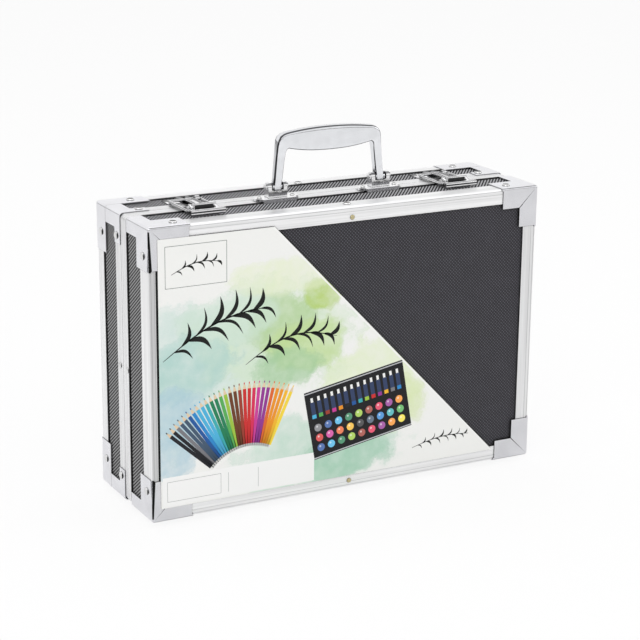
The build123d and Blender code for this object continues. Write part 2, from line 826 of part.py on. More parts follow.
def latch_lever(middle_x):
    """The lever: a windowed plate with a wide finger lip and two side flanges."""
    pivot_z = latch_pivot_z()
    plate_low = pivot_z + latch_wire_radius + latch_side_gap
    plate_high = plate_low + latch_sheet
    flange_low = strip_top_z + latch_sheet + 2 * latch_side_gap
    front_y, back_y = latch_lever_front_y, latch_lever_back_y
    body_x = (middle_x - latch_lever_half, middle_x + latch_lever_half)
    lip_x = (middle_x - latch_lip_half, middle_x + latch_lip_half)
    lever = block(body_x, (front_y, back_y), (plate_low, plate_high))
    lever += block(lip_x, (front_y, front_y + latch_lip_depth), (plate_low, plate_high))
    lever += block(lip_x, (front_y, front_y + latch_sheet), (flange_low, plate_high))
    window_y = (front_y + latch_lip_depth + back_y) / 2
    window = SlotOverall(2 * latch_window_half, latch_window_depth)
    lever -= extrude_z(Pos(middle_x, window_y) * window, plate_low, plate_high)
    flange_end = pivot_z - flange_low
    pad = Pos(latch_pivot_y, pivot_z) * Circle(flange_end)
    strap = Pos((front_y + latch_pivot_y) / 2, pivot_z) * Rectangle(latch_pivot_y - front_y, 2 * flange_end)
    for side in (-1, 1):
        far = middle_x + side * latch_lever_half
        near = far - side * latch_sheet
        lever += extrude_x(pad + strap, near, far)
        plate_y = (front_y, back_y)
        lever += block((near, far), plate_y, (pivot_z, plate_high))
    pin_bore = latch_pin_radius + running_gap
    loop_bore = latch_wire_radius + running_gap
    reach = latch_lever_half + 1
    loop_y = latch_pivot_y - latch_draw
    left, right = middle_x - reach, middle_x + reach
    lever -= rod((left, latch_pivot_y, pivot_z), (right, latch_pivot_y, pivot_z), pin_bore)
    lever -= rod((left, loop_y, pivot_z), (right, loop_y, pivot_z), loop_bore)
    return [lever]


def latch_loop(middle_x):
    """The wire loop: two rails, a cross bar behind the hook, and ends turned in to the lever."""
    z = latch_pivot_z()
    loop_y = latch_pivot_y - latch_draw
    bar_y = catch_front_y + latch_sheet + 0.3 + latch_wire_radius
    inward = latch_lever_half - latch_sheet - latch_side_gap
    points = [
        (middle_x - inward, loop_y, z),
        (middle_x - latch_rail_x, loop_y, z),
        (middle_x - latch_rail_x, bar_y, z),
        (middle_x + latch_rail_x, bar_y, z),
        (middle_x + latch_rail_x, loop_y, z),
        (middle_x + inward, loop_y, z),
    ]
    tight, wide = 1.2 * latch_wire_radius, 2.5 * latch_wire_radius
    path = FilletPolyline(*points, radius=[tight, wide, wide, tight])
    start = Plane(origin=path @ 0, z_dir=path % 0)
    return [sweep(start * Circle(latch_wire_radius), path=path)]


def catches(rivets):
    """The catch plates on the back strip, each with an upright hook."""
    top = strip_top_z + latch_sheet
    plates = []
    for side in (-1, 1):
        x = side * latch_x
        y_span = (catch_front_y, catch_back_y)
        plate = block((x - catch_half, x + catch_half), y_span, (strip_top_z, top))
        hook_y = (catch_front_y, catch_front_y + latch_sheet)
        plate += block((x - catch_hook_half, x + catch_hook_half), hook_y, (top, top + catch_hook_height))
        plates.append(drilled(plate, rivets))
    return plates


def tray_box(half, half_length, half_width, floor_depth, top_depth):
    """An open moulded tray: a floor and four walls, open towards the seam."""
    x, z = half_length, half_width
    y_span = (half.y(top_depth), half.y(floor_depth))
    outer = block((-x, x), y_span, (middle_z - z, middle_z + z))
    w = tray_wall
    inner_y = (half.y(top_depth), half.y(floor_depth - w))
    return outer - block((-x + w, x - w), inner_y, (middle_z - z + w, middle_z + z - w))


def lower_tray(half, rib_x, rib_z):
    """The fixed tray on the main board, with ribs between its bays."""
    length, width = lower_half_length, lower_half_width
    floor = half.inner_depth
    tray = tray_box(half, length, width, floor, lower_tray_rim)
    rib_y = (half.y(floor - tray_wall), half.y(floor - tray_wall - rib_height))
    span_z = (middle_z - width + tray_wall, middle_z + width - tray_wall)
    for x in rib_x:
        tray += block((x - tray_wall / 2, x + tray_wall / 2), rib_y, span_z)
    for z in rib_z:
        at = middle_z + z
        span_x = (-length + tray_wall, length - tray_wall)
        tray += block(span_x, rib_y, (at - tray_wall / 2, at + tray_wall / 2))
    return [tray]


def upper_tray(half, rib_x, rib_z):
    """The swing tray near the seam, with ribs between its bays."""
    x, z = upper_tray_half_length, upper_tray_half_width
    tray = tray_box(half, x, z, upper_tray_floor, upper_tray_top)
    floor = upper_tray_floor - tray_wall
    rib_y = (half.y(floor), half.y(floor - rib_height))
    split = middle_z + rib_z[0] if rib_z else middle_z
    for at in rib_x:
        tray += block((at - tray_wall / 2, at + tray_wall / 2), rib_y, (middle_z - z + tray_wall, split))
    for at in rib_z:
        level = middle_z + at
        tray += block((-x + tray_wall, x - tray_wall), rib_y, (level - tray_wall / 2, level + tray_wall / 2))
    return [tray]


def pull_tab(half):
    """A small tab on the tray's outer edge."""
    z = middle_z + upper_tray_half_width
    y_span = (half.y(pull_tab_top), half.y(pull_tab_bottom))
    tab = block((-pull_tab_half, pull_tab_half), y_span, (z, z + tray_wall))
    return [tab]


def arm_places(half):
    """For each swing arm: its side, its wall pivot and its tray pivot."""
    y = half.y(arm_depth)
    places = []
    for side in (-1, 1):
        for index in (0, 1):
            wall_z = top_z - arm_wall_pivot_drop - index * arm_spacing
            places.append((side, y, wall_z, wall_z - arm_length))
    return places


def arms(half):
    """The four flat arms that carry the upper tray."""
    near = upper_tray_half_length + arm_from_tray
    bars = []
    for side, y, wall_z, tray_z in arm_places(half):
        outline = Pos(y, (wall_z + tray_z) / 2) * Rot(0, 0, 90) * SlotCenterToCenter(arm_length, arm_width)
        bar = extrude_x(outline, side * near, side * (near + arm_thickness))
        bore = arm_pin_radius + running_gap
        for z in (wall_z, tray_z):
            bar -= rod((side * (near - 1), y, z), (side * (near + arm_thickness + 1), y, z), bore)
        bars.append(bar)
    return bars


def arm_pins(half):
    """Headed pins: one in the wall board and one in the tray at the ends of each arm."""
    near = upper_tray_half_length + arm_from_tray
    far = near + arm_thickness
    wall = half_width - inner_inset
    pins = []
    head_in = near - running_gap - arm_pin_head
    head_out = far + running_gap
    for side, y, wall_z, tray_z in arm_places(half):
        spans = (
            (wall_z, wall, head_in, head_in + arm_pin_head),
            (tray_z, upper_tray_half_length, head_out, head_out + arm_pin_head),
        )
        for z, root, head_x, head_end in spans:
            stem = rod((side * root, y, z), (side * head_x, y, z), arm_pin_radius)
            head = rod((side * head_x, y, z), (side * head_end, y, z), arm_pin_head_radius)
            pins.append(stem + head)
    return pins


def row(count, pitch):
    """Evenly spaced places about the middle."""
    return [(index - (count - 1) / 2) * pitch for index in range(count)]


def colour_pencils():
    """Six-sided pencils lying across the back upper tray, points up."""
    radius = pencil_flat / 2 / math.cos(math.pi / 6)
    bar = extrude(RegularPolygon(radius, 6), amount=pencil_length)
    shaft = pencil_length - pencil_tip
    turned = Pos(0, 0, shaft / 2) * Cylinder(radius + 0.1, shaft)
    turned += Pos(0, 0, shaft + pencil_tip / 2) * Cone(radius + 0.1, 0.6, pencil_tip)
    pencil = bar & turned
    y = back.y(upper_tray_floor - tray_wall - pencil_flat / 2)
    low = middle_z - upper_tray_half_width + tray_wall + pencil_low_gap
    return [Pos(x, y, low) * pencil for x in row(pencil_count, pencil_pitch)]


def crayon_profile():
    """One crayon along X: a round stick with a blunt cone."""
    shaft = crayon_length - crayon_tip
    stick = Pos(0, 0, shaft / 2) * Cylinder(crayon_radius, shaft)
    stick += Pos(0, 0, shaft + crayon_tip / 2) * Cone(crayon_radius, crayon_radius / 3, crayon_tip)
    return Rot(0, 90, 0) * stick


def wax_crayons():
    """Rows of crayons in the back lower tray, lying along the hinge."""
    stick = crayon_profile()
    y = back.y(back.inner_depth - tray_wall - crayon_radius - round_gap)
    sticks = []
    for x in row(crayon_rows, crayon_row_pitch):
        for z in row(crayon_count, crayon_pitch):
            sticks.append(Pos(x - crayon_length / 2, y, middle_z + z) * stick)
    return sticks


def tube_place(column, line):
    """The shoulder of one paint tube in the front lower tray."""
    x = row(tube_rows, tube_row_pitch)[column] + tube_length / 2 - cap_length / 2
    z = middle_z + tube_zone_z() + row(tube_count, tube_pitch)[line]
    y = front.y(front.inner_depth - tray_wall - tube_radius - round_gap)
    return x, y, z


def tube_zone_z():
    """The middle of the tubes, measured up from the middle of the tray."""
    return lower_room_width / 2 - bay_gap - tube_count * tube_pitch / 2


def paint_tubes():
    """Soft metal tubes, round at the shoulder and folded flat at the tail."""
    shoulder = Plane(origin=(0, 0, 0), x_dir=(0, 0, 1), z_dir=(-1, 0, 0)) * Circle(tube_radius)
    tail_plane = Plane(origin=(-tube_length, 0, 0), x_dir=(0, 0, 1), z_dir=(-1, 0, 0))
    tail = tail_plane * SlotOverall(tube_tail_width, tube_tail_thickness)
    tube = loft([shoulder, tail])
    tubes = []
    for column in range(tube_rows):
        for line in range(tube_count):
            tubes.append(Pos(*tube_place(column, line)) * tube)
    return tubes


def tube_caps():
    """Screw caps on the paint tubes."""
    caps = []
    for column in range(tube_rows):
        for line in range(tube_count):
            x, y, z = tube_place(column, line)
            caps.append(rod((x, y, z), (x + cap_length, y, z), cap_radius))
    return caps


def oil_pastels():
    """Square pastels below the paint tubes."""
    y_low = front.inner_depth - tray_wall
    top = middle_z + tube_zone_z() - tube_count * tube_pitch / 2 - pastel_pitch
    sticks = []
    for x in row(tube_rows, tube_row_pitch):
        for index in range(pastel_count):
            z = top - index * pastel_pitch
            x_span = (x - pastel_length / 2, x + pastel_length / 2)
            y_span = (front.y(y_low), front.y(y_low - pastel_size))
            sticks.append(block(x_span, y_span, (z - pastel_size / 2, z + pastel_size / 2)))
    return sticks


pan_zone_x = bay_gap + pan_columns * pan_spacing / 2 - upper_room_length / 2
pan_zone_z = bay_gap + pan_rows * pan_spacing / 2 - upper_room_width / 2
upper_rib_x = pan_zone_x + pan_columns * pan_spacing / 2 + 2 * bay_gap
upper_rib_z = pan_zone_z + pan_rows * pan_spacing / 2 + 2 * bay_gap
upper_floor = upper_tray_floor - tray_wall


def watercolour_pans():
    """Round cakes of watercolour in rows."""
    cake = Rot(90, 0, 0) * Cylinder(pan_radius, pan_height)
    y = front.y(upper_floor - pan_height / 2)
    pans = []
    for x in row(pan_columns, pan_spacing):
        for z in row(pan_rows, pan_spacing):
            pans.append(Pos(pan_zone_x + x, y, middle_z + pan_zone_z + z) * cake)
    return pans


def palette_places():
    """The middles of the two mixing palettes, beside the pans."""
    x_low, x_high = upper_rib_x, upper_tray_half_length - tray_wall
    x = (x_low + x_high) / 2
    spread = palette_radius + bay_gap
    return [(x - spread, middle_z + pan_zone_z), (x + spread, middle_z + pan_zone_z)]


def mixing_palettes():
    """Flower-shaped dishes with six wells round a middle one."""
    petals = 6
    ring = palette_radius * 0.62
    petal = palette_radius - ring
    dish = Circle(ring)
    wells = [(0, 0)]
    for index in range(petals):
        angle = 2 * math.pi * index / petals
        at = (ring * math.cos(angle), ring * math.sin(angle))
        dish += Pos(*at) * Circle(petal)
        wells.append(at)
    dishes = []
    for x, z in palette_places():
        y_floor = front.y(upper_floor)
        y_top = front.y(upper_floor - palette_height)
        body = extrude_y(Pos(x, z) * dish, y_floor, y_top)
        y_well = front.y(upper_floor - tray_wall)
        for well_x, well_z in wells:
            hollow = Pos(x + well_x, z + well_z) * Circle(petal - tray_wall)
            body -= extrude_y(hollow, y_well, y_top)
        dishes.append(body)
    return dishes


def brush_rows():
    """Levels of the long tools above the pans, counted from the rib up."""
    base = middle_z + upper_rib_z + tray_wall / 2
    return [base + (index + 0.7) * brush_spacing for index in range(brush_count + 2)]


def tool_left_x():
    return tool_end_gap - upper_room_length / 2


def brush_handles():
    """Turned wooden brush handles, thickest near the ferrule."""
    handles = []
    profile_length = brush_length * 0.78
    y = front.y(upper_floor - brush_radius - round_gap)
    for z in brush_rows()[:brush_count]:
        thin = Plane(origin=(tool_left_x(), y, z), x_dir=(0, 1, 0), z_dir=(1, 0, 0))
        body = loft([
            thin * Circle(brush_radius * 0.45),
            thin.offset(profile_length * 0.7) * Circle(brush_radius),
            thin.offset(profile_length) * Circle(brush_radius * 0.7),
        ])
        handles.append(body)
    return handles


def brush_ferrules():
    """Metal ferrules between handle and hair."""
    y = front.y(upper_floor - brush_radius - round_gap)
    start = tool_left_x() + brush_length * 0.78
    length = brush_length * 0.13
    parts = []
    for z in brush_rows()[:brush_count]:
        parts.append(rod((start, y, z), (start + length, y, z), brush_radius * 0.7))
    return parts


def brush_tips():
    """Pointed brush hair."""
    y = front.y(upper_floor - brush_radius - round_gap)
    start = tool_left_x() + brush_length * 0.91
    length = brush_length * 0.09
    tips = []
    for z in brush_rows()[:brush_count]:
        tip = Pos(0, 0, length / 2) * Cone(brush_radius * 0.7, 0.3, length)
        tips.append(Pos(start, y, z) * Rot(0, 90, 0) * tip)
    return tips


def sketch_pencils():
    """Two plain six-sided pencils beside the brushes."""
    radius = pencil_flat / 2 / math.cos(math.pi / 6)
    shaft = pencil_length - pencil_tip
    bar = extrude(RegularPolygon(radius, 6), amount=pencil_length)
    turned = Pos(0, 0, shaft / 2) * Cylinder(radius + 0.1, shaft)
    turned += Pos(0, 0, shaft + pencil_tip / 2) * Cone(radius + 0.1, 0.6, pencil_tip)
    lying = Rot(0, 90, 0) * Rot(0, 0, 90) * (bar & turned)
    y = front.y(upper_floor - pencil_flat / 2)
    return [Pos(tool_left_x(), y, z) * (Rot(90, 0, 0) * lying) for z in brush_rows()[brush_count:]]


def accessory_block(index, length, width, height, radius):
    """A small block in the bay to the right of the long tools."""
    tools_end = tool_left_x() + pencil_length
    step = (upper_room_length / 2 - tools_end) / accessory_count
    x = tools_end + (index + 0.5) * step
    z = middle_z + (upper_rib_z + upper_tray_half_width) / 2
    shape = Pos(x, z) * RectangleRounded(length, width, radius)
    return extrude_y(shape, front.y(upper_floor), front.y(upper_floor - height))


def sharpener():
    """A wedge sharpener with its pencil bore."""
    body = accessory_block(0, sharpener_length, sharpener_width, sharpener_height, 1)
    at = body.center()
    low, high = at.Z - sharpener_width / 2 - 1, at.Z + sharpener_width / 3
    bore = rod((at.X, at.Y, low), (at.X, at.Y, high), sharpener_bore_radius)
    return [body - bore]


def eraser():
    """A soft eraser block."""
    return [accessory_block(1, eraser_length, eraser_width, eraser_height, 2)]


def sponge():
    """A small painting sponge."""
    return [accessory_block(2, sponge_length, sponge_width, sponge_height, 3)]


def write(node, solids):
    """One STEP file for a node, with each of its pieces as a solid of its own."""
    pieces = []
    for solid in solids:
        pieces.extend(solid.solids())
    shape = pieces[0] if len(pieces) == 1 else Compound(children=pieces)
    export_step(shape, f"parts/{node}.step")


def half_nodes(half, rivets):
    """The nodes that both halves have."""
    n = half.name
    return {
        f"{n}_panel": panel(half, rivets),
        f"{n}_long_walls": walls(half, "long", rivets),
        f"{n}_short_walls": walls(half, "short", rivets),
        f"{n}_long_trims": trims(half, "long", rivets),
        f"{n}_short_trims": trims(half, "short", rivets),
        f"{n}_seam_rim": rim(half, rivets),
        f"{n}_corner_plates": corner_plates(half, rivets),
        f"{n}_feet": feet(half),
        f"{n}_hinge_leaves": hinge_leaf(half, rivets),
        f"{n}_pull_tab": pull_tab(half),
        f"{n}_tray_arms": arms(half),
        f"{n}_arm_pins": arm_pins(half),
    }


def all_nodes():
    """Every node by name."""
    front_rivets = corner_rivets(front) + middle_rivets(front) + hinge_rivets(front)
    back_rivets = corner_rivets(back) + middle_rivets(back) + hinge_rivets(back)
    top_rivets = bracket_rivets() + latch_rivets()
    hook_rivets = catch_rivets()
    nodes = half_nodes(front, front_rivets + top_rivets)
    nodes.update(half_nodes(back, back_rivets + hook_rivets))
    crayon_ribs = row(crayon_rows - 1, crayon_row_pitch)
    tube_ribs = row(tube_rows - 1, tube_row_pitch)
    tube_split = tube_zone_z() - tube_count * tube_pitch / 2 - bay_gap
    nodes.update({
        "front_rivets": [rivet.solid() for rivet in front_rivets],
        "back_rivets": [rivet.solid() for rivet in back_rivets],
        "fitting_rivets": [rivet.solid() for rivet in top_rivets],
        "catch_rivets": [rivet.solid() for rivet in hook_rivets],
        "back_rim_caps": rim_caps(back_rivets),
        "label_card": label_card(),
        "hinge_pins": hinge_pins(),
        "handle": handle(),
        "handle_brackets": brackets(top_rivets),
        "handle_pins": handle_pins(),
        "latch_bases": latch_bases(top_rivets),
        "latch_pins": latch_pins(),
        "left_latch_lever": latch_lever(-latch_x),
        "right_latch_lever": latch_lever(latch_x),
        "left_latch_loop": latch_loop(-latch_x),
        "right_latch_loop": latch_loop(latch_x),
        "latch_catches": catches(hook_rivets),
        "front_lower_tray": lower_tray(front, tube_ribs, [tube_split]),
        "back_lower_tray": lower_tray(back, crayon_ribs, []),
        "front_upper_tray": upper_tray(front, [upper_rib_x], [upper_rib_z]),
        "back_upper_tray": upper_tray(back, [], []),
        "colour_pencils": colour_pencils(),
        "wax_crayons": wax_crayons(),
        "paint_tubes": paint_tubes(),
        "tube_caps": tube_caps(),
        "oil_pastels": oil_pastels(),
        "watercolour_pans": watercolour_pans(),
        "mixing_palettes": mixing_palettes(),
        "brush_handles": brush_handles(),
        "brush_ferrules": brush_ferrules(),
        "brush_tips": brush_tips(),
        "sketch_pencils": sketch_pencils(),
        "sharpener": sharpener(),
        "eraser": eraser(),
        "sponge": sponge(),
    })
    return nodes


def main():
    os.makedirs("parts", exist_ok=True)
    for node, solids in all_nodes().items():
        write(node, solids)


main()
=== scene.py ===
import functools
import math
import bmesh
import bpy
import numpy as np
from mathutils import Matrix, Vector


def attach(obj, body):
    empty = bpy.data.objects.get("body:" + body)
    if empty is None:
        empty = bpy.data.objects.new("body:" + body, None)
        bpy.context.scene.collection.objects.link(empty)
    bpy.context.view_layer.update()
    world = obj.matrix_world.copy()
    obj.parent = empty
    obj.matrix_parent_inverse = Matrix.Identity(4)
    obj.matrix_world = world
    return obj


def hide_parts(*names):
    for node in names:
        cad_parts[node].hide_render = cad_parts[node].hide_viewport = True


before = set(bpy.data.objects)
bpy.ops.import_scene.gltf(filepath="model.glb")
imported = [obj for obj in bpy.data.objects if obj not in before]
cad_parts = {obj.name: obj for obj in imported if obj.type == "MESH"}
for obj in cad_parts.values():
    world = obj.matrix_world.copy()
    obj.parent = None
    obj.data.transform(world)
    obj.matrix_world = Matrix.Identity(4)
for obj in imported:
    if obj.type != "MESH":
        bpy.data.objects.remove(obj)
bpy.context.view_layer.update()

nodeObjects = {o.name: o for o in bpy.context.scene.objects if o.type == "MESH"}

# the case's own planes, in metres; the borders are the lines that trims and rims leave open on its walls
caseBody = {
    "halfWidth": 0.160, "high": 0.2212, "middle": 0.1127, "seam": 0.0025, "innerInset": 0.0044,
    "borders": (-0.0325, -0.0076, 0.0126, 0.0360),
}
black, nearBlack = (0.0, 0.0, 0.0), (0.012, 0.012, 0.012)


# a number or colour that a material works out at each point; sums on it become nodes of its tree
class Field:
    def __init__(self, socket):
        self.socket, self.tree = socket, socket.id_data

    def __add__(self, other):
        return mathNode("ADD", self, other)

    def __sub__(self, other):
        return mathNode("SUBTRACT", self, other)

    def __rsub__(self, other):
        return mathNode("SUBTRACT", other, self)

    def __mul__(self, other):
        return mathNode("MULTIPLY", self, other)

    def __truediv__(self, other):
        return mathNode("DIVIDE", self, other)

    def __mod__(self, other):
        return mathNode("FLOORED_MODULO", self, other)

    def __floor__(self):
        return mathNode("FLOOR", self)

    def __abs__(self):
        return mathNode("ABSOLUTE", self)

    def __lt__(self, other):
        return mathNode("LESS_THAN", self, other)

    def __gt__(self, other):
        return mathNode("GREATER_THAN", self, other)


def feed(socket, value):
    if isinstance(value, Field):
        value.tree.links.new(value.socket, socket)
    else:
        socket.default_value = (*value, 1.0) if isinstance(value, tuple) else value


def mathNode(operation, *values):
    tree = next(value.tree for value in values if isinstance(value, Field))
    node = tree.nodes.new("ShaderNodeMath")
    node.operation = operation
    for socket, value in zip(node.inputs, values):
        feed(socket, value)
    return Field(node.outputs[0])


def larger(*values):
    return functools.reduce(lambda a, b: mathNode("MAXIMUM", a, b), values)


def smaller(*values):
    return functools.reduce(lambda a, b: mathNode("MINIMUM", a, b), values)


# 1 where a value lies within a reach of a place
def within(value, place, reach):
    return mathNode("COMPARE", value, place, reach)


# where a point lies on the object, or with "Normal" which way its surface faces there
def axes(tree, kind="Object"):
    coords = tree.nodes.new("ShaderNodeTexCoord")
    split = tree.nodes.new("ShaderNodeSeparateXYZ")
    tree.links.new(coords.outputs[kind], split.inputs[0])
    return [Field(part) for part in split.outputs]


# noise on the object's own coordinates, scaled alike or by three numbers along x, y and z
def grain(tree, scale, detail=3.0, rough=0.55):
    coords = tree.nodes.new("ShaderNodeTexCoord")
    scaled = tree.nodes.new("ShaderNodeVectorMath")
    scaled.operation = "MULTIPLY"
    scaled.inputs[1].default_value = scale if isinstance(scale, tuple) else (scale, scale, scale)
    tree.links.new(coords.outputs["Object"], scaled.inputs[0])
    noise = tree.nodes.new("ShaderNodeTexNoise")
    for label, level in (("Scale", 1.0), ("Detail", detail), ("Roughness", rough)):
        noise.inputs[label].default_value = level
    tree.links.new(scaled.outputs[0], noise.inputs["Vector"])
    return Field(noise.outputs["Fac"])


# the scales of a grain that is drawn out along x or z
def drawnOut(along, fine, long):
    return (long, fine, fine) if along == "x" else (fine, fine, long)


def fade(value, low, high, toLow=0.0, toHigh=1.0, smooth=True):
    node = value.tree.nodes.new("ShaderNodeMapRange")
    node.interpolation_type = "SMOOTHSTEP" if smooth else "LINEAR"
    feed(node.inputs["Value"], value)
    for label, number in (("From Min", low), ("From Max", high), ("To Min", toLow), ("To Max", toHigh)):
        node.inputs[label].default_value = number
    return Field(node.outputs["Result"])


def blend(amount, a, b, mode="MIX"):
    tree = next(value.tree for value in (amount, a, b) if isinstance(value, Field))
    node = tree.nodes.new("ShaderNodeMix")
    node.data_type = "RGBA"
    node.blend_type = mode
    for index, value in ((0, amount), (6, a), (7, b)):
        feed(node.inputs[index], value)
    return Field(node.outputs[2])


# a sine along a value, from 0 to 1
def wave(value, pitch):
    return mathNode("SINE", value * (2 * math.pi / pitch)) * 0.5 + 0.5


# a colour made lighter or darker by a factor, and lifted
def toned(colour, factor, lift=0.0):
    return tuple(min(1.0, lift + c * factor) for c in colour)


# how far a point lies in from the case's side, and from its top or bottom
def fromSide(x):
    return caseBody["halfWidth"] - abs(x)


def fromEnd(z):
    return caseBody["high"] - caseBody["middle"] - abs(z - caseBody["middle"])


# 1 on the faces that look into the case, 0 outside
def insideMask(x, z):
    return smaller(fromSide(x), fromEnd(z)) > caseBody["innerInset"] - 0.0004


# a mask for painted shade: 1 along the borders that the trims and rims leave open, 0 in the middle of a wall
def borderShadeMask(y):
    near = smaller(*(abs(y - border) for border in caseBody["borders"]))
    return fade(near, 0.0012, 0.0024, 1.0, 0.0)


# 1 in the open and 0 deep in a crevice: how much of the sky a point sees within a short reach
def openness(tree, reach, shutAt, openAt):
    node = tree.nodes.new("ShaderNodeAmbientOcclusion")
    node.samples = 6
    node.inputs["Distance"].default_value = reach
    return fade(Field(node.outputs["AO"]), shutAt, openAt)


# painted shade: a colour that goes nearly black in crevices
def shaded(colour, reach=0.003, shutAt=0.30, openAt=0.78, deepest=(0.012, 0.012, 0.013)):
    return blend(openness(colour.tree, reach, shutAt, openAt), deepest, colour)


# 1 on flat faces and 0 on the rounded edges between them, from the size of parts of the object's own normal
def flatness(tree, parts):
    look = {"edgeOn": 0.30, "faceOn": 0.93}
    sizes = [abs(part) for name, part in zip("xyz", axes(tree, "Normal")) if name in parts]
    most = larger(*sizes)
    if len(parts) == 3:
        return fade(most, look["faceOn"] - 0.06, look["faceOn"])
    edgeOn = fade(most, look["edgeOn"] - 0.1, look["edgeOn"], 1.0, 0.0)
    return larger(edgeOn, fade(most, look["faceOn"] - 0.04, look["faceOn"]))


def startMaterial(name, roughness, metallic=0.0, specular=0.5, coat=0.0, sheen=0.0):
    material = bpy.data.materials.new(name)
    material.use_nodes = True
    shader = material.node_tree.nodes["Principled BSDF"]
    levels = {"Roughness": roughness, "Metallic": metallic, "Specular IOR Level": specular,
              "Coat Weight": coat, "Sheen Weight": sheen}
    for label, level in levels.items():
        shader.inputs[label].default_value = level
    return material, material.node_tree


# the end of every finish: its colour, its relief from a height, and its roughness where that varies
def complete(material, colour, height, depth, strength=1.0, rough=None):
    tree = material.node_tree
    shader = tree.nodes["Principled BSDF"]
    feed(shader.inputs["Base Color"], colour)
    if rough is not None:
        feed(shader.inputs["Roughness"], rough)
    bump = tree.nodes.new("ShaderNodeBump")
    bump.inputs["Strength"].default_value = strength
    bump.inputs["Distance"].default_value = depth
    feed(bump.inputs["Height"], height)
    tree.links.new(bump.outputs[0], shader.inputs["Normal"])
    return material


def makePanelWeave():
    look = {"pitch": 0.0026, "dark": (0.013, 0.012, 0.0165), "light": (0.083, 0.081, 0.099), "depth": 0.00025}
    material, tree = startMaterial("embossedCharcoalPanel", 0.42, specular=0.42)
    x, y, z = axes(tree)
    ribs, cross = wave(x + z, look["pitch"]), wave(x - z, look["pitch"])
    dots = fade(ribs, 0.15, 0.85) * fade(cross, 0.15, 0.85)
    tone = dots + grain(tree, 90, 4.0) * 0.3 - 0.15
    # painted shade: black in crevices, a dark line along the panel's border beside the trims
    colour = shaded(blend(tone, look["dark"], look["light"]), 0.0050, 0.60, 0.93, black)
    return complete(material, colour, dots + grain(tree, 2500) * 0.25, look["depth"],
                    rough=fade(dots, 0.0, 1.0, 0.58, 0.36))


def makeTopHatch():
    look = {"pitch": 0.00277, "slope": 0.77, "crossPitch": 0.0029085, "crossSlope": 1.1,
            "dark": (0.006, 0.006, 0.007), "light": (0.47, 0.47, 0.49), "dust": (0.03, 0.03, 0.033),
            "lining": (0.020, 0.020, 0.022), "border": (0.004, 0.004, 0.004), "depth": 0.0003}
    material, tree = startMaterial("diagonalHatchTop", 0.6, specular=0.06)
    x, y, z = axes(tree)
    ribs = wave(x - y * look["slope"], look["pitch"])
    cross = wave(x + y * look["crossSlope"], look["crossPitch"])
    wander = grain(tree, 500)
    colour = blend(fade(cross * 0.14 + ribs, 0.40, 0.78), look["dark"], look["light"])
    colour = blend(wander * 0.25, colour, look["dust"])
    # painted shade: a dark line along each border of the strip, where it tucks under a trim or rim
    colour = blend(borderShadeMask(y), colour, look["border"])
    inside = insideMask(x, z)
    height = ribs * (1.0 - inside) + wander * 0.2
    return complete(material, blend(inside, colour, look["lining"]), height, look["depth"])


def makeSideHatch():
    look = {"pitch": 0.00265, "slope": 0.75, "dark": (0.050, 0.050, 0.051), "light": (0.36, 0.36, 0.365),
            "lining": (0.020, 0.020, 0.022), "border": (0.004, 0.004, 0.004), "depth": 0.0003}
    material, tree = startMaterial("diagonalHatchSide", 0.6, specular=0.06)
    x, y, z = axes(tree)
    weave = fade(wave(y * look["slope"] + z, look["pitch"]), 0.30, 0.85)
    tone = weave + grain(tree, 500) * 0.3 - 0.15
    # painted shade: a dark line along each border of the strip, where it tucks under a trim or rim
    colour = blend(borderShadeMask(y), blend(tone, look["dark"], look["light"]), look["border"])
    inside = insideMask(x, z)
    return complete(material, blend(inside, colour, look["lining"]), weave * (1.0 - inside), look["depth"])


# drawn aluminium: fine hairs and broader streaks along the trim, and painted shade as dark groove lines near its outer
# edge
def makeAluminium(name, along):
    look = {
        "colour": (0.90, 0.90, 0.905), "fine": 2600.0, "long": 14.0, "streak": 420.0, "depth": 0.00006,
        "lines": ((0.0022, 0.00022), (0.0046, 0.00018)), "line": (0.18, 0.18, 0.19),
        "broadFace": 0.0468, "paintedFaceShade": 0.15, "paintedFaceShadeLeft": 0.14,
        "gapAt": 0.0063, "gapHalf": 0.0007, "gapFace": -0.0470, "gap": (0.03, 0.03, 0.03),
    }
    material, tree = startMaterial(name, 0.34, metallic=1.0)
    hair = grain(tree, drawnOut(along, look["fine"], look["long"]), 2.0)
    streak = grain(tree, drawnOut(along, look["streak"], look["long"] * 0.4))
    handling = grain(tree, 45, 4.0)
    tone = streak * 0.6 + hair * 0.4
    colour = blend(fade(tone, 0.28, 0.72), toned(look["colour"], 0.84), toned(look["colour"], 1.08))
    x, y, z = axes(tree)
    inward = fromEnd(z) if along == "x" else fromSide(x)
    # painted shade: dark lines where the extrusion's grooves run, with no relief of their own
    lines = larger(*(within(inward, place, half) for place, half in look["lines"]))
    colour = blend(lines * 0.45, colour, look["line"])
    if along == "z":
        # painted shade: the broad faces of the upright trims are darker than their edges, most of all on the left,
        # beside the card
        paintedFaceShade = ((x < 0.0) * look["paintedFaceShadeLeft"] + look["paintedFaceShade"]) * (abs(y) > look["broadFace"])
        colour = blend(paintedFaceShade, colour, black)
        # and painted shade makes the edge beside the card dark, on the left trim only
        gap = within(inward, look["gapAt"], look["gapHalf"]) * (y < look["gapFace"]) * (x < 0.0)
        colour = blend(gap, colour, look["gap"])
    # painted shade: nearly black in the crevices beside the trim
    return complete(material, shaded(colour, 0.003, 0.50, 0.90), tone, look["depth"], 0.8,
                    rough=handling * 0.22 + (hair * 0.12 + 0.18))


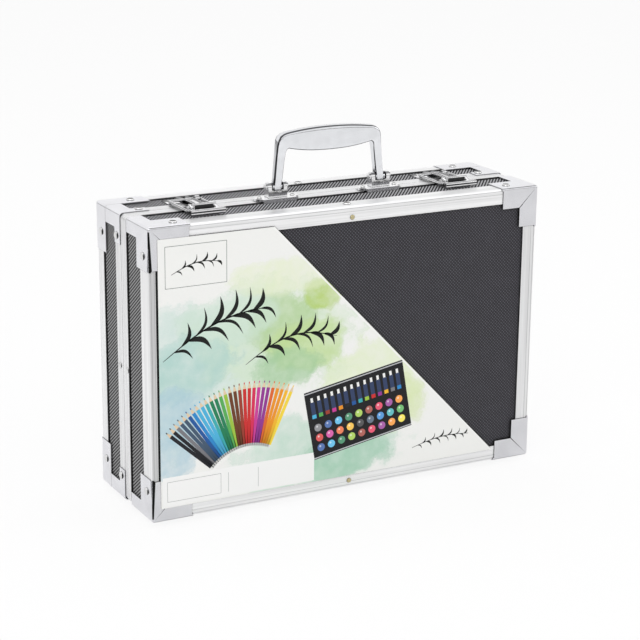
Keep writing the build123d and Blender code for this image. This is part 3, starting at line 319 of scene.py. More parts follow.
def makeRimAluminium():
    look = {"fine": 2600.0, "long": 14.0, "deep": (0.68, 0.68, 0.69), "lit": (0.94, 0.94, 0.945),
            "sideFrom": 0.153, "grooveAt": 0.0063, "grooveHalf": 0.00022, "depth": 0.00010}
    material, tree = startMaterial("drawnAluminiumRim", 0.33, metallic=1.0)
    x, y, z = axes(tree)
    side = abs(x) > look["sideFrom"]
    level, upright = (grain(tree, drawnOut(along, look["fine"], look["long"]), 2.0) for along in "xz")
    hair = upright * side + level * (1.0 - side)
    groove = within(abs(y - caseBody["seam"]), look["grooveAt"], look["grooveHalf"])
    # painted shade: the groove is darkened in colour as well as sunk in the relief
    colour = blend(fade(hair, 0.3, 0.7) - groove * 0.7, look["deep"], look["lit"])
    # painted shade: nearly black in the crevices beside the rim
    return complete(material, shaded(colour, 0.003, 0.50, 0.90), hair - groove, look["depth"], 0.8,
                    rough=hair * 0.2 + 0.2)


# stamped corner plates: a mitred seam across each face, and two flanges that part along the upright edge; painted shade
# darkens the front and back faces, the slit between the flanges on the left plates and a line along each face's outer
# end
def makeCornerSteel():
    look = {"deep": (0.785, 0.785, 0.815), "lit": (0.85, 0.85, 0.88), "faceAt": 0.0472, "frontBackShade": 0.18,
            "seamWide": 0.00045, "seamFrom": 0.002, "legs": 0.0165, "depth": 0.00008,
            "slitTaper": 0.058, "slitLeast": 0.0004, "slitAt": 0.0007, "slitFrom": 0.003, "endShadeWide": 0.0008}
    material, tree = startMaterial("stampedCornerSteel", 0.26, metallic=1.0)
    x, y, z = axes(tree)
    side, end = fromSide(x), fromEnd(z)
    onFace = abs(y) > look["faceAt"]
    seamWide = fade(side, look["seamFrom"], look["legs"], 0.0, look["seamWide"], smooth=False)
    seam = (abs(side - end) < seamWide) * onFace
    mottle, pits = grain(tree, 60, 4.0), grain(tree, 1800, 2.0)
    # painted shade: the front and back faces are darker than the other faces
    tone = blend(onFace * look["frontBackShade"], blend(fade(mottle, 0.3, 0.7), look["deep"], look["lit"]), black)
    # painted shade: the slit between the flanges, black on the left plates only
    slit = (side - look["slitAt"] < end * look["slitTaper"] + look["slitLeast"]) * onFace
    slit = slit * (end > look["slitFrom"]) * (x < 0.0)
    # painted shade: a dark line along the outer end of each face
    rim = (end < look["endShadeWide"]) * onFace
    # painted shade: nearly black in the crevices round the plate
    colour = shaded(blend(larger(seam, slit, rim * 0.6), tone, nearBlack))
    return complete(material, colour, pits * 0.3 - seam, look["depth"], 0.7, rough=mottle * 0.10 + 0.18)


# plated and polished metal, smooth to dull between two levels, with painted dark reflections on rounded edges where
# asked
def makePolished(name, colour, smoothest, dullest, edges=(), edgeReflectionDark=0.86, reach=0.0028, shutAt=0.26, openAt=0.66):
    look = {"smear": 140, "scratch": (300, 4200, 300), "edge": (0.03, 0.03, 0.035), "depth": 0.00004}
    material, tree = startMaterial(name, smoothest, metallic=1.0)
    smear = grain(tree, look["smear"], 5.0, 0.6)
    bright = blend(fade(smear, 0.3, 0.7), toned(colour, 0.90), colour)
    # painted reflection: the rounded edges are darkened toward near black
    if edges:
        bright = blend(flatness(tree, edges) * edgeReflectionDark + (1.0 - edgeReflectionDark), look["edge"], bright)
    scratch = grain(tree, look["scratch"], 2.0)
    # painted shade: nearly black in crevices
    return complete(material, shaded(bright, reach, shutAt, openAt), scratch, look["depth"], 0.5,
                    rough=fade(smear, 0.25, 0.75, smoothest, dullest))


def makeMoulded(name, colour, grainScale, roughness, depth=0.00005, variation=0.3):
    material, tree = startMaterial(name, roughness, specular=0.45)
    fine = grain(tree, grainScale)
    mottled = blend(grain(tree, 35, 4.0), toned(colour, 1 - variation), toned(colour, 1 + variation))
    return complete(material, mottled, fine, depth, rough=fine * 0.25 + (roughness - 0.12))


rainbow = [
    (0.015, 0.015, 0.02), (0.20, 0.20, 0.22), (0.06, 0.10, 0.16), (0.02, 0.10, 0.34), (0.03, 0.25, 0.60),
    (0.08, 0.45, 0.72), (0.05, 0.42, 0.45), (0.02, 0.22, 0.10), (0.10, 0.42, 0.10), (0.35, 0.55, 0.06),
    (0.16, 0.05, 0.02), (0.34, 0.05, 0.03), (0.62, 0.03, 0.03), (0.70, 0.03, 0.10), (0.60, 0.05, 0.32),
    (0.30, 0.04, 0.30), (0.75, 0.14, 0.03), (0.85, 0.30, 0.02), (0.90, 0.48, 0.03), (0.92, 0.68, 0.06),
]


# one colour for each number of a row of things, as steps of a ramp, which holds 30 of them at most
def pickColour(index, count, colours=rainbow, shift=0):
    node = index.tree.nodes.new("ShaderNodeValToRGB")
    node.color_ramp.interpolation = "CONSTANT"
    while len(node.color_ramp.elements) > 1:
        node.color_ramp.elements.remove(node.color_ramp.elements[-1])
    for k in range(min(count, 30)):
        element = node.color_ramp.elements[0] if k == 0 else node.color_ramp.elements.new(k / count)
        element.position = k / count
        element.color = (*colours[(k * len(colours) // count + shift) % len(colours)], 1.0)
    feed(node.inputs[0], (index + 0.5) / float(count))
    return Field(node.outputs[0])


# lacquer on the six-sided shaft, bare wood on the cone and a coloured point;
# the plain ones lie along x and are black
def makePencils(name, pitch, count, shaftEnd, plain=False):
    look = {"wood": (0.62, 0.42, 0.24), "plain": (0.03, 0.03, 0.035), "lead": (0.05, 0.05, 0.055),
            "butt": (0.75, 0.75, 0.72), "cone": 0.011, "shaft": 0.150, "fine": 900, "long": 60, "depth": 0.00005}
    material, tree = startMaterial(name, 0.28, coat=0.3)
    x, y, z = axes(tree)
    along = x if plain else z
    lacquer = look["plain"] if plain else pickColour(math.floor(x / pitch + count / 2), count)
    fibre = grain(tree, drawnOut("x" if plain else "z", look["fine"], look["long"]))
    onCone = along > shaftEnd
    colour = blend(onCone, lacquer, blend(fibre, toned(look["wood"], 0.8), look["wood"]))
    colour = blend(along > shaftEnd + look["cone"], colour, look["lead"] if plain else lacquer)
    colour = blend((along < shaftEnd - look["shaft"]) * 0.5, colour, look["butt"])
    return complete(material, colour, fibre, look["depth"], 0.5, rough=fade(onCone, 0.0, 1.0, 0.24, 0.7))


def makeCrayons():
    look = {"pitch": 0.0122, "count": 16, "rowPitch": 0.102, "length": 0.088, "paperFrom": 0.006, "paperTo": 0.072,
            "stripes": (0.012, 0.066), "stripeHalf": 0.0012, "sleeve": (0.9, 0.9, 0.85), "stripe": (0.02, 0.02, 0.02),
            "rub": (0.9, 0.9, 0.9), "depth": 0.00006}
    material, tree = startMaterial("waxCrayons", 0.45)
    x, y, z = axes(tree)
    line = math.floor((z - caseBody["middle"]) / look["pitch"] + look["count"] / 2)
    column = math.floor(x / look["rowPitch"] + 1.5)
    wax = pickColour((column * 5.0 + line) % float(look["count"]), look["count"], shift=2)
    local = x - (column - 1.0) * look["rowPitch"] + look["length"] / 2
    paper = (local > look["paperFrom"]) * (local < look["paperTo"])
    stripe = larger(*(within(local, place, look["stripeHalf"]) for place in look["stripes"]))
    sleeve = blend(stripe, blend(0.25, wax, look["sleeve"]), look["stripe"])
    fine = grain(tree, 700, 4.0)
    colour = blend(fine * 0.25, blend(paper, wax, sleeve), look["rub"], "MULTIPLY")
    return complete(material, colour, fine + paper, look["depth"], rough=fade(paper, 0.0, 1.0, 0.32, 0.75))


def makeTubes():
    look = {"rowPitch": 0.075, "pitch": 0.019, "top": 0.2152, "count": 24, "labelFrom": -0.026, "labelTo": 0.020,
            "bandAt": -0.014, "bandHalf": 0.008, "metal": (0.75, 0.75, 0.74), "label": (0.045, 0.055, 0.10),
            "shine": (0.8, 0.8, 0.8), "crease": (260, 260, 420), "depth": 0.0006}
    material, tree = startMaterial("softPaintTubes", 0.3, coat=0.2)
    x, y, z = axes(tree)
    column = math.floor(x / look["rowPitch"] + 2.0)
    line = math.floor((look["top"] - z) / look["pitch"])
    local = x - (column - 1.5) * look["rowPitch"]
    paint = pickColour((column * 6.0 + line) % float(look["count"]), look["count"], shift=4)
    onLabel = (local > look["labelFrom"]) * (local < look["labelTo"])
    crease = grain(tree, look["crease"], 5.0)
    onBand = within(local, look["bandAt"], look["bandHalf"])
    body = blend(onBand, blend(onLabel, look["metal"], look["label"]), paint)
    colour = blend(crease * 0.2, body, look["shine"], "SCREEN")
    return complete(material, colour, crease, look["depth"], 0.8, rough=fade(crease, 0.2, 0.8, 0.2, 0.5))


def makePastels():
    look = {"pitch": 0.0104, "rowPitch": 0.075, "low": 0.004, "count": 28,
            "dust": (0.85, 0.82, 0.80), "depth": 0.0002}
    material, tree = startMaterial("chalkPastels", 0.85, specular=0.2)
    x, y, z = axes(tree)
    column = math.floor(x / look["rowPitch"] + 2.0)
    line = math.floor((z - look["low"]) / look["pitch"])
    chalk = pickColour((column * 7.0 + line) % float(look["count"]), look["count"], shift=9)
    dust = grain(tree, 900, 5.0)
    return complete(material, blend(dust * 0.35, chalk, look["dust"]), dust, look["depth"])


def makePans():
    look = {"pitch": 0.025, "left": -0.1478, "low": 0.0139, "columns": 6.0, "count": 24,
            "powder": (0.9, 0.9, 0.88), "depth": 0.0003}
    material, tree = startMaterial("dryPaintCakes", 0.8, specular=0.25)
    x, y, z = axes(tree)
    column = math.floor((x - look["left"]) / look["pitch"])
    line = math.floor((z - look["low"]) / look["pitch"])
    bright = [toned(colour, 1.2, 0.06) for colour in rainbow]
    cake = pickColour(line * look["columns"] + column, look["count"], bright, shift=3)
    powder = grain(tree, 700, 5.0)
    return complete(material, blend(powder * 0.22, cake, look["powder"]), powder, look["depth"])


def makeFibre(name, deep, lit, stretch, roughness, depth, sheen=0.0):
    material, tree = startMaterial(name, roughness, sheen=sheen)
    strand = grain(tree, stretch, 4.0)
    colour = blend(fade(strand, 0.3, 0.7), deep, lit)
    return complete(material, colour, strand, depth, rough=strand * 0.25 + (roughness - 0.12))


def makeSponge():
    look = {"cells": 900.0, "deep": (0.42, 0.27, 0.06), "lit": (0.93, 0.76, 0.30), "depth": 0.0006}
    material, tree = startMaterial("openFoam", 0.95, specular=0.1, sheen=0.2)
    cells = tree.nodes.new("ShaderNodeTexVoronoi")
    cells.inputs["Scale"].default_value = look["cells"]
    coords = tree.nodes.new("ShaderNodeTexCoord")
    tree.links.new(coords.outputs["Object"], cells.inputs["Vector"])
    pores = fade(Field(cells.outputs["Distance"]), 0.05, 0.5)
    return complete(material, blend(pores, look["deep"], look["lit"]), pores, look["depth"])


# polished domes; the two in the middle of the front face are brass
def makeRivets():
    look = {"steel": (0.84, 0.84, 0.84), "brass": (0.50, 0.44, 0.26), "dark": (0.02, 0.02, 0.02), "depth": 0.00005,
            "brassHalf": 0.004, "brassFace": -0.0465, "topFrom": 0.218, "sideFrom": 0.158}
    material, tree = startMaterial("polishedRivet", 0.1, metallic=1.0)
    x, y, z = axes(tree)
    facing = axes(tree, "Normal")
    middle = (abs(x) < look["brassHalf"]) * (y < look["brassFace"])
    smear = grain(tree, 900, 4.0)
    metal = blend(middle, blend(smear, toned(look["steel"], 0.8), look["steel"]), look["brass"])
    # painted dark reflection on the flat middle of the domes on top, and painted shadow on the forward flank of those
    # on the side walls
    paintedTopReflection = fade(facing[2], 0.93, 0.975) * (z > look["topFrom"])
    paintedFlankShadow = fade(facing[1], -0.80, -0.62, 1.0, 0.0) * (abs(x) > look["sideFrom"])
    # painted shade: nearly black in the crevices round the domes
    colour = shaded(blend(larger(paintedTopReflection, paintedFlankShadow), metal, look["dark"]), 0.0022, 0.42, 0.80)
    return complete(material, colour, smear, look["depth"], 0.5, rough=fade(smear, 0.25, 0.75, 0.07, 0.22))


# paper under a painted wash: each patch is a soft ellipse whose rim a noise pushes about
def makeWash():
    look = {
        "paper": (0.905, 0.900, 0.878), "pool": (0.86, 0.90, 0.88), "speck": (0.55, 0.60, 0.58), "granule": 0.08,
        "ragged": 1.5, "tideAt": 0.86, "tideHalf": 0.018, "tide": 0.16, "depth": 0.00002,
        # for each patch its middle, its half width and half height, its tint and its strength
        "patches": [
            ((-0.128, 0.112), (0.070, 0.062), (0.63, 0.77, 0.72), 0.90),
            ((-0.060, 0.128), (0.075, 0.050), (0.66, 0.80, 0.60), 0.85),
            ((-0.020, 0.040), (0.075, 0.036), (0.52, 0.72, 0.60), 0.95),
            ((0.020, 0.085), (0.050, 0.040), (0.76, 0.86, 0.55), 0.80),
            ((-0.055, 0.142), (0.036, 0.024), (0.47, 0.66, 0.34), 1.00),
            ((-0.036, 0.122), (0.038, 0.024), (0.54, 0.72, 0.30), 0.90),
            ((-0.023, 0.158), (0.020, 0.014), (0.46, 0.64, 0.13), 1.00),
            ((-0.100, 0.148), (0.046, 0.022), (0.62, 0.78, 0.66), 0.85),
            ((-0.132, 0.116), (0.044, 0.026), (0.43, 0.66, 0.61), 0.90),
            ((-0.054, 0.104), (0.034, 0.018), (0.36, 0.60, 0.33), 0.90),
            ((-0.142, 0.070), (0.030, 0.040), (0.40, 0.60, 0.70), 0.90),
            ((-0.012, 0.030), (0.052, 0.020), (0.36, 0.62, 0.46), 1.00),
            ((-0.052, 0.176), (0.050, 0.016), (0.80, 0.87, 0.60), 0.75),
            ((0.040, 0.066), (0.030, 0.026), (0.66, 0.79, 0.36), 0.75),
        ],
    }
    material, tree = startMaterial("paintedCard", 0.36, specular=0.45, coat=0.1)
    x, y, z = axes(tree)
    ragged, pools = grain(tree, 38, 6.0, 0.62), grain(tree, 75, 5.0, 0.6)
    colour = blend(pools * 0.16, look["paper"], look["pool"])
    thin = fade(pools, 0.2, 0.8, 0.50, 1.0)
    for (atX, atZ), (wide, tall), tint, strength in look["patches"]:
        acrossX, acrossZ = (x - atX) / wide, (z - atZ) / tall
        radius = mathNode("SQRT", acrossX * acrossX + acrossZ * acrossZ) + (ragged - 0.5) * look["ragged"]
        colour = blend(fade(radius, 1.02, 0.66, 0.0, strength) * thin, colour, tint)
        tide = within(radius, look["tideAt"], look["tideHalf"]) * (look["tide"] * strength)
        colour = blend(tide, colour, toned(tint, 0.8))
    fine = grain(tree, 900)
    colour = blend(fine * look["granule"], colour, look["speck"], "MULTIPLY")
    return complete(material, colour, fine, look["depth"], 0.5, rough=fine * 0.12 + 0.26)


# printing ink: the colour comes from each shape's own tint
def makeInk():
    look = {"paper": (0.80, 0.82, 0.80), "speck": 1500, "depth": 0.00001}
    material, tree = startMaterial("printedInk", 0.5, specular=0.12)
    tint = tree.nodes.new("ShaderNodeAttribute")
    tint.attribute_name = "tint"
    speck = grain(tree, look["speck"])
    colour = blend(speck * 0.02, Field(tint.outputs["Color"]), look["paper"])
    return complete(material, colour, speck, look["depth"], 0.4, rough=speck * 0.15 + 0.28)


print("finishes: helpers ready")

finishes = {
    "card": makeWash(), "ink": makeInk(), "panel": makePanelWeave(), "top": makeTopHatch(), "side": makeSideHatch(),
    "trimLong": makeAluminium("brushedTrimLong", "x"), "trimShort": makeAluminium("brushedTrimShort", "z"),
    "rim": makeRimAluminium(), "corner": makeCornerSteel(), "rivet": makeRivets(),
    "handle": makePolished("polishedHandle", (0.80, 0.81, 0.835), 0.08, 0.16, edges=("y",), edgeReflectionDark=0.96),
    "latch": makePolished("platedLatch", (0.92, 0.92, 0.93), 0.08, 0.22, edges=("x", "y", "z"), edgeReflectionDark=0.74,
                          reach=0.0015, shutAt=0.42, openAt=0.68),
    "hinge": makePolished("zincHinge", (0.62, 0.62, 0.64), 0.25, 0.45),
    "arm": makePolished("satinArm", (0.68, 0.68, 0.70), 0.22, 0.4),
    "ferrule": makePolished("ferruleMetal", (0.80, 0.78, 0.72), 0.15, 0.3),
    "sharpener": makePolished("milledSharpener", (0.66, 0.66, 0.68), 0.25, 0.4),
    "shadeSheet": makeMoulded("paintedShadeSheet", (0.012, 0.012, 0.013), 2600.0, 0.45),
    "foot": makeMoulded("footRubber", (0.020, 0.020, 0.021), 2200.0, 0.7),
    "tray": makeMoulded("mouldedTray", (0.018, 0.018, 0.020), 1800.0, 0.5),
    "liner": makeMoulded("formedLiner", (0.030, 0.030, 0.032), 2400.0, 0.42, 0.00004),
    "tab": makeMoulded("tabHide", (0.016, 0.015, 0.015), 1200.0, 0.6, 0.0002),
    "caps": makeMoulded("ribbedCaps", (0.80, 0.80, 0.79), 2400.0, 0.35, 0.0001, 0.08),
    "palette": makeMoulded("whitePalette", (0.84, 0.84, 0.83), 900.0, 0.25, 0.00003, 0.05),
    "eraser": makeMoulded("softEraser", (0.82, 0.82, 0.80), 1500.0, 0.75, 0.0001, 0.08),
    "pencils": makePencils("lacqueredPencils", 0.0092, 32, 0.1749),
    "sketch": makePencils("sketchPencils", 1.0, 1, 0.0162, plain=True),
    "crayons": makeCrayons(), "tubes": makeTubes(), "pastels": makePastels(), "pans": makePans(),
    "brushWood": makeFibre("lacqueredBrushWood", (0.30, 0.03, 0.02), (0.48, 0.06, 0.03), (80, 1400, 1400),
                           0.25, 0.00004),
    "hair": makeFibre("brushHair", (0.05, 0.025, 0.01), (0.30, 0.17, 0.08), (120, 5200, 5200), 0.6, 0.0002, 0.3),
    "sponge": makeSponge(),
}

# the nodes that wear each finish; a name that starts with a dash is worn by both halves
wearers = {
    "handle": "handle", "hinge": "hinge_pins -hinge_leaves", "rivet": "fitting_rivets catch_rivets -rivets",
    "latch": "handle_brackets handle_pins latch_bases latch_pins latch_catches left_latch_lever right_latch_lever"
             " left_latch_loop right_latch_loop",
    "corner": "back_rim_caps -corner_plates", "panel": "-panel", "top": "-long_walls", "side": "-short_walls",
    "trimLong": "-long_trims", "trimShort": "-short_trims", "rim": "-seam_rim", "foot": "-feet", "tab": "-pull_tab",
    "arm": "-tray_arms -arm_pins", "tray": "-lower_tray -upper_tray", "pencils": "colour_pencils",
    "crayons": "wax_crayons", "tubes": "paint_tubes", "caps": "tube_caps", "pastels": "oil_pastels",
    "pans": "watercolour_pans", "palette": "mixing_palettes label_card", "brushWood": "brush_handles",
    "ferrule": "brush_ferrules", "hair": "brush_tips", "sketch": "sketch_pencils", "sharpener": "sharpener",
    "eraser": "eraser", "sponge": "sponge",
}
dressed = 0
for finish, names in wearers.items():
    for name in names.split():
        for node in ((f"front_{name[1:]}", f"back_{name[1:]}") if name[0] == "-" else (name,)):
            if node in nodeObjects:
                nodeObjects[node].data.materials.clear()
                nodeObjects[node].data.materials.append(finishes[finish])
                dressed += 1
print("finishes: set on", dressed, "of", len(nodeObjects), "nodes")


# quads between neighbouring points of a grid, whose rows may be joined into rings
def gridFaces(rows, cols, loop, first):
    row, col = np.meshgrid(np.arange(rows - 1), np.arange(cols if loop else cols - 1), indexing="ij")
    here, beside = (row * cols + col).ravel(), (row * cols + (col + 1) % cols).ravel()
    return (np.stack([here, beside, beside + cols, here + cols], axis=-1) + first).tolist()


# one object from several grids; a grid is its points, and may be looped, capped at its ends and tinted
def makePiece(name, grids, finish, body, hides=(), smooth=True, recalc=True):
    places, faces, tints, first = [], [], [], 0
    for grid in grids:
        points = np.asarray(grid["points"], float)
        rows, cols = points.shape[:2]
        faces += gridFaces(rows, cols, grid.get("loop", False), first)
        flat = points.reshape(-1, 3)
        count = len(flat)
        if grid.get("caps", False):
            # fans of triangles from the middle of each end
            ends = [points[0].mean(axis=0), points[-1].mean(axis=0)]
            ring = np.arange(cols)
            for end, start in ((0, first), (1, first + (rows - 1) * cols)):
                centre = first + count + end
                turned = np.stack([start + (ring + 1) % cols, start + ring, np.full(cols, centre)], axis=-1)
                faces += (turned if end == 0 else turned[:, [1, 0, 2]]).tolist()
            flat = np.vstack([flat, ends])
            count += 2
        places.append(flat)
        tints.append(np.tile([*grid.get("tint", (1.0, 1.0, 1.0)), 1.0], (count, 1)))
        first += count
    mesh = bpy.data.meshes.new(name)
    mesh.from_pydata(np.vstack(places).tolist(), [], faces)
    layer = mesh.color_attributes.new("tint", "FLOAT_COLOR", "POINT")
    layer.data.foreach_set("color", np.vstack(tints).ravel())
    if recalc:
        shape = bmesh.new()
        shape.from_mesh(mesh)
        bmesh.ops.recalc_face_normals(shape, faces=shape.faces)
        shape.to_mesh(mesh)
        shape.free()
    mesh.polygons.foreach_set("use_smooth", [smooth] * len(mesh.polygons))
    mesh.materials.append(finishes[finish])
    piece = bpy.data.objects.new(name, mesh)
    bpy.context.scene.collection.objects.link(piece)
    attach(piece, body)
    if hides:
        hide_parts(*hides)
    return piece


# points along a bent line, evenly spaced by length
def evenPath(corners, count):
    corners = np.asarray(corners, float)
    run = np.concatenate([[0.0], np.cumsum(np.linalg.norm(np.diff(corners, axis=0), axis=1))])
    at = np.linspace(0.0, run[-1], count)
    return np.stack([np.interp(at, run, corners[:, k]) for k in range(corners.shape[1])], axis=-1)


# an arc about a centre: centre plus radius times the cosine and sine of the angle
def arc(centre, radius, start, stop, count):
    angle = np.radians(np.linspace(start, stop, count))
    return np.stack([centre[0] + radius * np.cos(angle), centre[1] + radius * np.sin(angle)], axis=-1)


# a flat stroke on the card: each path point moved sideways by half the width there, in x and z
def stroke(path, widths, tint, layer):
    path = np.asarray(path, float)
    heading = np.gradient(path, axis=0)
    heading /= np.maximum(np.linalg.norm(heading, axis=1, keepdims=True), 1e-9)
    side = np.stack([-heading[:, 1], heading[:, 0]], axis=-1)
    half = np.broadcast_to(np.asarray(widths, float) / 2, (len(path),))[:, None]
    across = np.linspace(1.0, -1.0, 3)
    flat = path[:, None, :] + side[:, None, :] * half[:, None, :] * across[None, :, None]
    points = np.stack([flat[..., 0], np.full(flat.shape[:2], layer), flat[..., 1]], axis=-1)
    return {"points": points, "tint": tint}


# a straight stroke from one place on the card to another
def bar(start, stop, count, widths, tint, layer):
    return stroke(evenPath([start, stop], count), widths, tint, layer)


# a flat disc: rings of radius r about its middle, from a small one to the rim
def dot(middle, radius, tint, layer):
    turn = np.linspace(0.0, 2 * math.pi, 24, endpoint=False)
    rings = np.linspace(0.02, 1.0, 4)[:, None] * radius
    x = middle[0] + rings * np.cos(turn)
    z = middle[1] + rings * np.sin(turn)
    return {"points": np.stack([x, np.full(x.shape, layer), z], axis=-1), "loop": True, "tint": tint}


# a place so far along and across from an origin, on axes turned by an angle
def turnedPlace(origin, angle, along, across=0.0):
    c, s = math.cos(math.radians(angle)), math.sin(math.radians(angle))
    return (origin[0] + along * c - across * s, origin[1] + along * s + across * c)


# the card: rows from its foot to its top, each as wide as the slanting edge lets it be
def makeCard():
    size = {"left": -0.153, "cutLow": 0.126, "cutHigh": -0.063, "low": 0.0142, "high": 0.2122, "face": -0.04827}
    up = np.linspace(0.0, 1.0, 60)[:, None]
    along = np.linspace(0.0, 1.0, 80)[None, :]
    right = size["cutLow"] + (size["cutHigh"] - size["cutLow"]) * up
    x = size["left"] + (right - size["left"]) * along
    z = size["low"] + (size["high"] - size["low"]) * up + 0 * along
    card = {"points": np.stack([x, np.full(x.shape, size["face"]), z], axis=-1)}
    makePiece("paintedLabel", [card], "card", "front_half", hides=("label_card",))


# a sprig: a curved stem, and leaves along it that are strokes as wide as a half sine
def sprig(start, long, rise, bend, leaves, leafLong, leafWide, tint, layer):
    t = np.linspace(0.0, 1.0, 70)
    stem = np.stack([start[0] + long * t, start[1] + rise * t + bend * np.sin(math.pi * t)], axis=-1)
    shapes = [stroke(stem, 0.0003 + leafWide * 0.24 * np.sin(math.pi * t) ** 0.7, tint, layer)]
    heading = math.degrees(math.atan2(rise, long))
    for index in range(leaves):
        part = 0.10 + 0.82 * index / (leaves - 1)
        root = [np.interp(part, t, stem[:, k]) for k in (0, 1)]
        slope = heading + math.degrees(bend / long * math.cos(math.pi * part))
        side = 1 if index % 2 else -1
        size = leafLong * (0.55 + 0.45 * math.sin(math.pi * part))
        u = np.linspace(0.0, 1.0, 24)
        bow = -side * size * 0.22
        line = [turnedPlace(root, slope + side * 48, size * a, bow * math.sin(math.pi * a)) for a in u]
        full = leafWide * (0.6 + 0.5 * (index % 3) / 2)
        shapes.append(stroke(line, 0.0001 + full * np.sin(math.pi * u ** 0.8), tint, layer))
    return shapes


# printed motifs: a bare frame, leafy sprigs, a fan of pencils, a tin of paints and bare boxes
def makePrint():
    look = {
        "first": -0.048280, "second": -0.048287, "third": -0.048294, "ink": (0.006, 0.007, 0.006),
        "frame": ((-0.1475, 0.1765), (-0.1005, 0.2065)), "frameLine": 0.0004, "frameTint": (0.20, 0.22, 0.21),
        # for each sprig its start, its length, rise and bend, and its leaves: how many, how long and how wide
        "sprigs": [
            ((-0.1430, 0.1860), 0.038, 0.006, 0.0040, 9, 0.0080, 0.0015),
            ((-0.1500, 0.1240), 0.082, 0.030, 0.0080, 13, 0.0230, 0.0036),
            ((-0.0860, 0.1130), 0.074, 0.012, 0.0110, 12, 0.0180, 0.0030),
            ((0.0540, 0.0270), 0.050, 0.004, 0.0030, 12, 0.0070, 0.0012),
        ],
        "hub": (-0.0840, 0.0130), "pencils": 28, "firstAngle": 138.0, "stepAngle": 2.7, "pencilWide": 0.0027,
        # how far a pencil's butt, foot, neck, lead and tip lie from the hub
        "pencil": (0.038, 0.040, 0.082, 0.0855, 0.087), "wood": (0.78, 0.60, 0.40), "buttTint": (0.80, 0.80, 0.78),
        "tin": (-0.0300, 0.0330), "lean": 10.0, "tinLong": 0.084, "tinMiddle": 0.025, "tinWide": 0.054,
        "tinTint": (0.010, 0.010, 0.012), "rails": (-0.001, 0.0505), "railWide": 0.0008, "railTint": (0.55, 0.56, 0.58),
        "paintAt": (0.0070, 0.0062), "paintPitch": (0.0087, 0.0080), "paint": 0.0030,
        "glint": 0.0008, "glintAt": (-0.0008, 0.0009),
        "tubeAt": 0.0055, "tubePitch": 0.0056, "tubeLevels": (0.0300, 0.0330, 0.0430, 0.0465),
        "tubeWide": 0.0034, "capWide": 0.0020, "tubeTint": (0.035, 0.055, 0.13), "capTint": (0.86, 0.86, 0.85),
        "strip": ((-0.1515, 0.0262), (-0.0300, 0.0262)), "stripWide": 0.0220, "stripTint": (0.92, 0.92, 0.91),
        "boxLow": 0.0185, "boxHigh": 0.0335, "uprights": (-0.148, -0.106, -0.100, -0.076), "boxLine": 0.0003,
        "boxTint": (0.35, 0.35, 0.35),
        "margin": ((0.1247, 0.0142), (-0.0640, 0.2119)), "marginWide": 0.0011, "marginTint": (0.92, 0.92, 0.90),
    }
    one, two, three = look["first"], look["second"], look["third"]
    (left, low), (right, high) = look["frame"]
    corners = [(left, low), (right, low), (right, high), (left, high), (left, low)]
    shapes = [bar(a, b, 4, look["frameLine"], look["frameTint"], two) for a, b in zip(corners[:-1], corners[1:])]
    for facts in look["sprigs"]:
        shapes += sprig(*facts, look["ink"], two)
    # the fan: pencils whose feet share a middle and whose directions step round it
    for index in range(look["pencils"]):
        tint = rainbow[index * len(rainbow) // look["pencils"]]
        angle = look["firstAngle"] - index * look["stepAngle"]
        butt, foot, neck, lead, tip = (turnedPlace(look["hub"], angle, reach) for reach in look["pencil"])
        wide = look["pencilWide"]
        shapes.append(bar(foot, neck, 4, wide, tint, two))
        shapes.append(bar(neck, tip, 4, [wide, 0.0019, 0.0011, 0.0004], look["wood"], two))
        shapes.append(bar(lead, tip, 3, 0.0008, tint, three))
        shapes.append(bar(butt, foot, 3, wide, look["buttTint"], two))

    # the tin: a dark slanting board with two light rails, rows of round paints and a row of small tubes
    def onTin(along, level):
        return turnedPlace(look["tin"], look["lean"], along, level)

    far = look["tinLong"]
    board = onTin(0.0, look["tinMiddle"]), onTin(far, look["tinMiddle"])
    shapes.append(bar(*board, 12, look["tinWide"], look["tinTint"], one))
    for level in look["rails"]:
        shapes.append(bar(onTin(0.0, level), onTin(far, level), 6, look["railWide"], look["railTint"], two))
    for line in range(3):
        for column in range(9):
            bright = toned(rainbow[(line * 9 + column * 2 + 3) % len(rainbow)], 1.1, 0.08)
            place = np.array(onTin(*(np.array(look["paintAt"]) + np.array(look["paintPitch"]) * (column, line))))
            shapes.append(dot(place, look["paint"], bright, two))
            shapes.append(dot(place + look["glintAt"], look["glint"], toned(bright, 0.5, 0.5), three))
    for column in range(14):
        tint = rainbow[(column * 3 + 5) % len(rainbow)]
        along = look["tubeAt"] + column * look["tubePitch"]
        foot, band, neck, cap = (onTin(along, level) for level in look["tubeLevels"])
        shapes.append(bar(foot, neck, 3, look["tubeWide"], look["tubeTint"], two))
        shapes.append(bar(neck, cap, 3, look["capWide"], look["capTint"], two))
        shapes.append(bar(foot, band, 3, look["tubeWide"], tint, three))
    # a pale strip with a bare box and two bare lines, and the card's own pale margin along its slanting edge
    shapes.append(bar(*look["strip"], 6, look["stripWide"], look["stripTint"], one))
    low, high = look["boxLow"], look["boxHigh"]
    lines = [((look["uprights"][0], level), (look["uprights"][1], level)) for level in (low, high)]
    lines += [((x, low), (x, high)) for x in look["uprights"]]
    shapes += [bar(a, b, 3, look["boxLine"], look["boxTint"], two) for a, b in lines]
    shapes.append(bar(*look["margin"], 30, look["marginWide"], look["marginTint"], two))
    makePiece("labelPrint", shapes, "ink", "front_half", smooth=False, recalc=False)


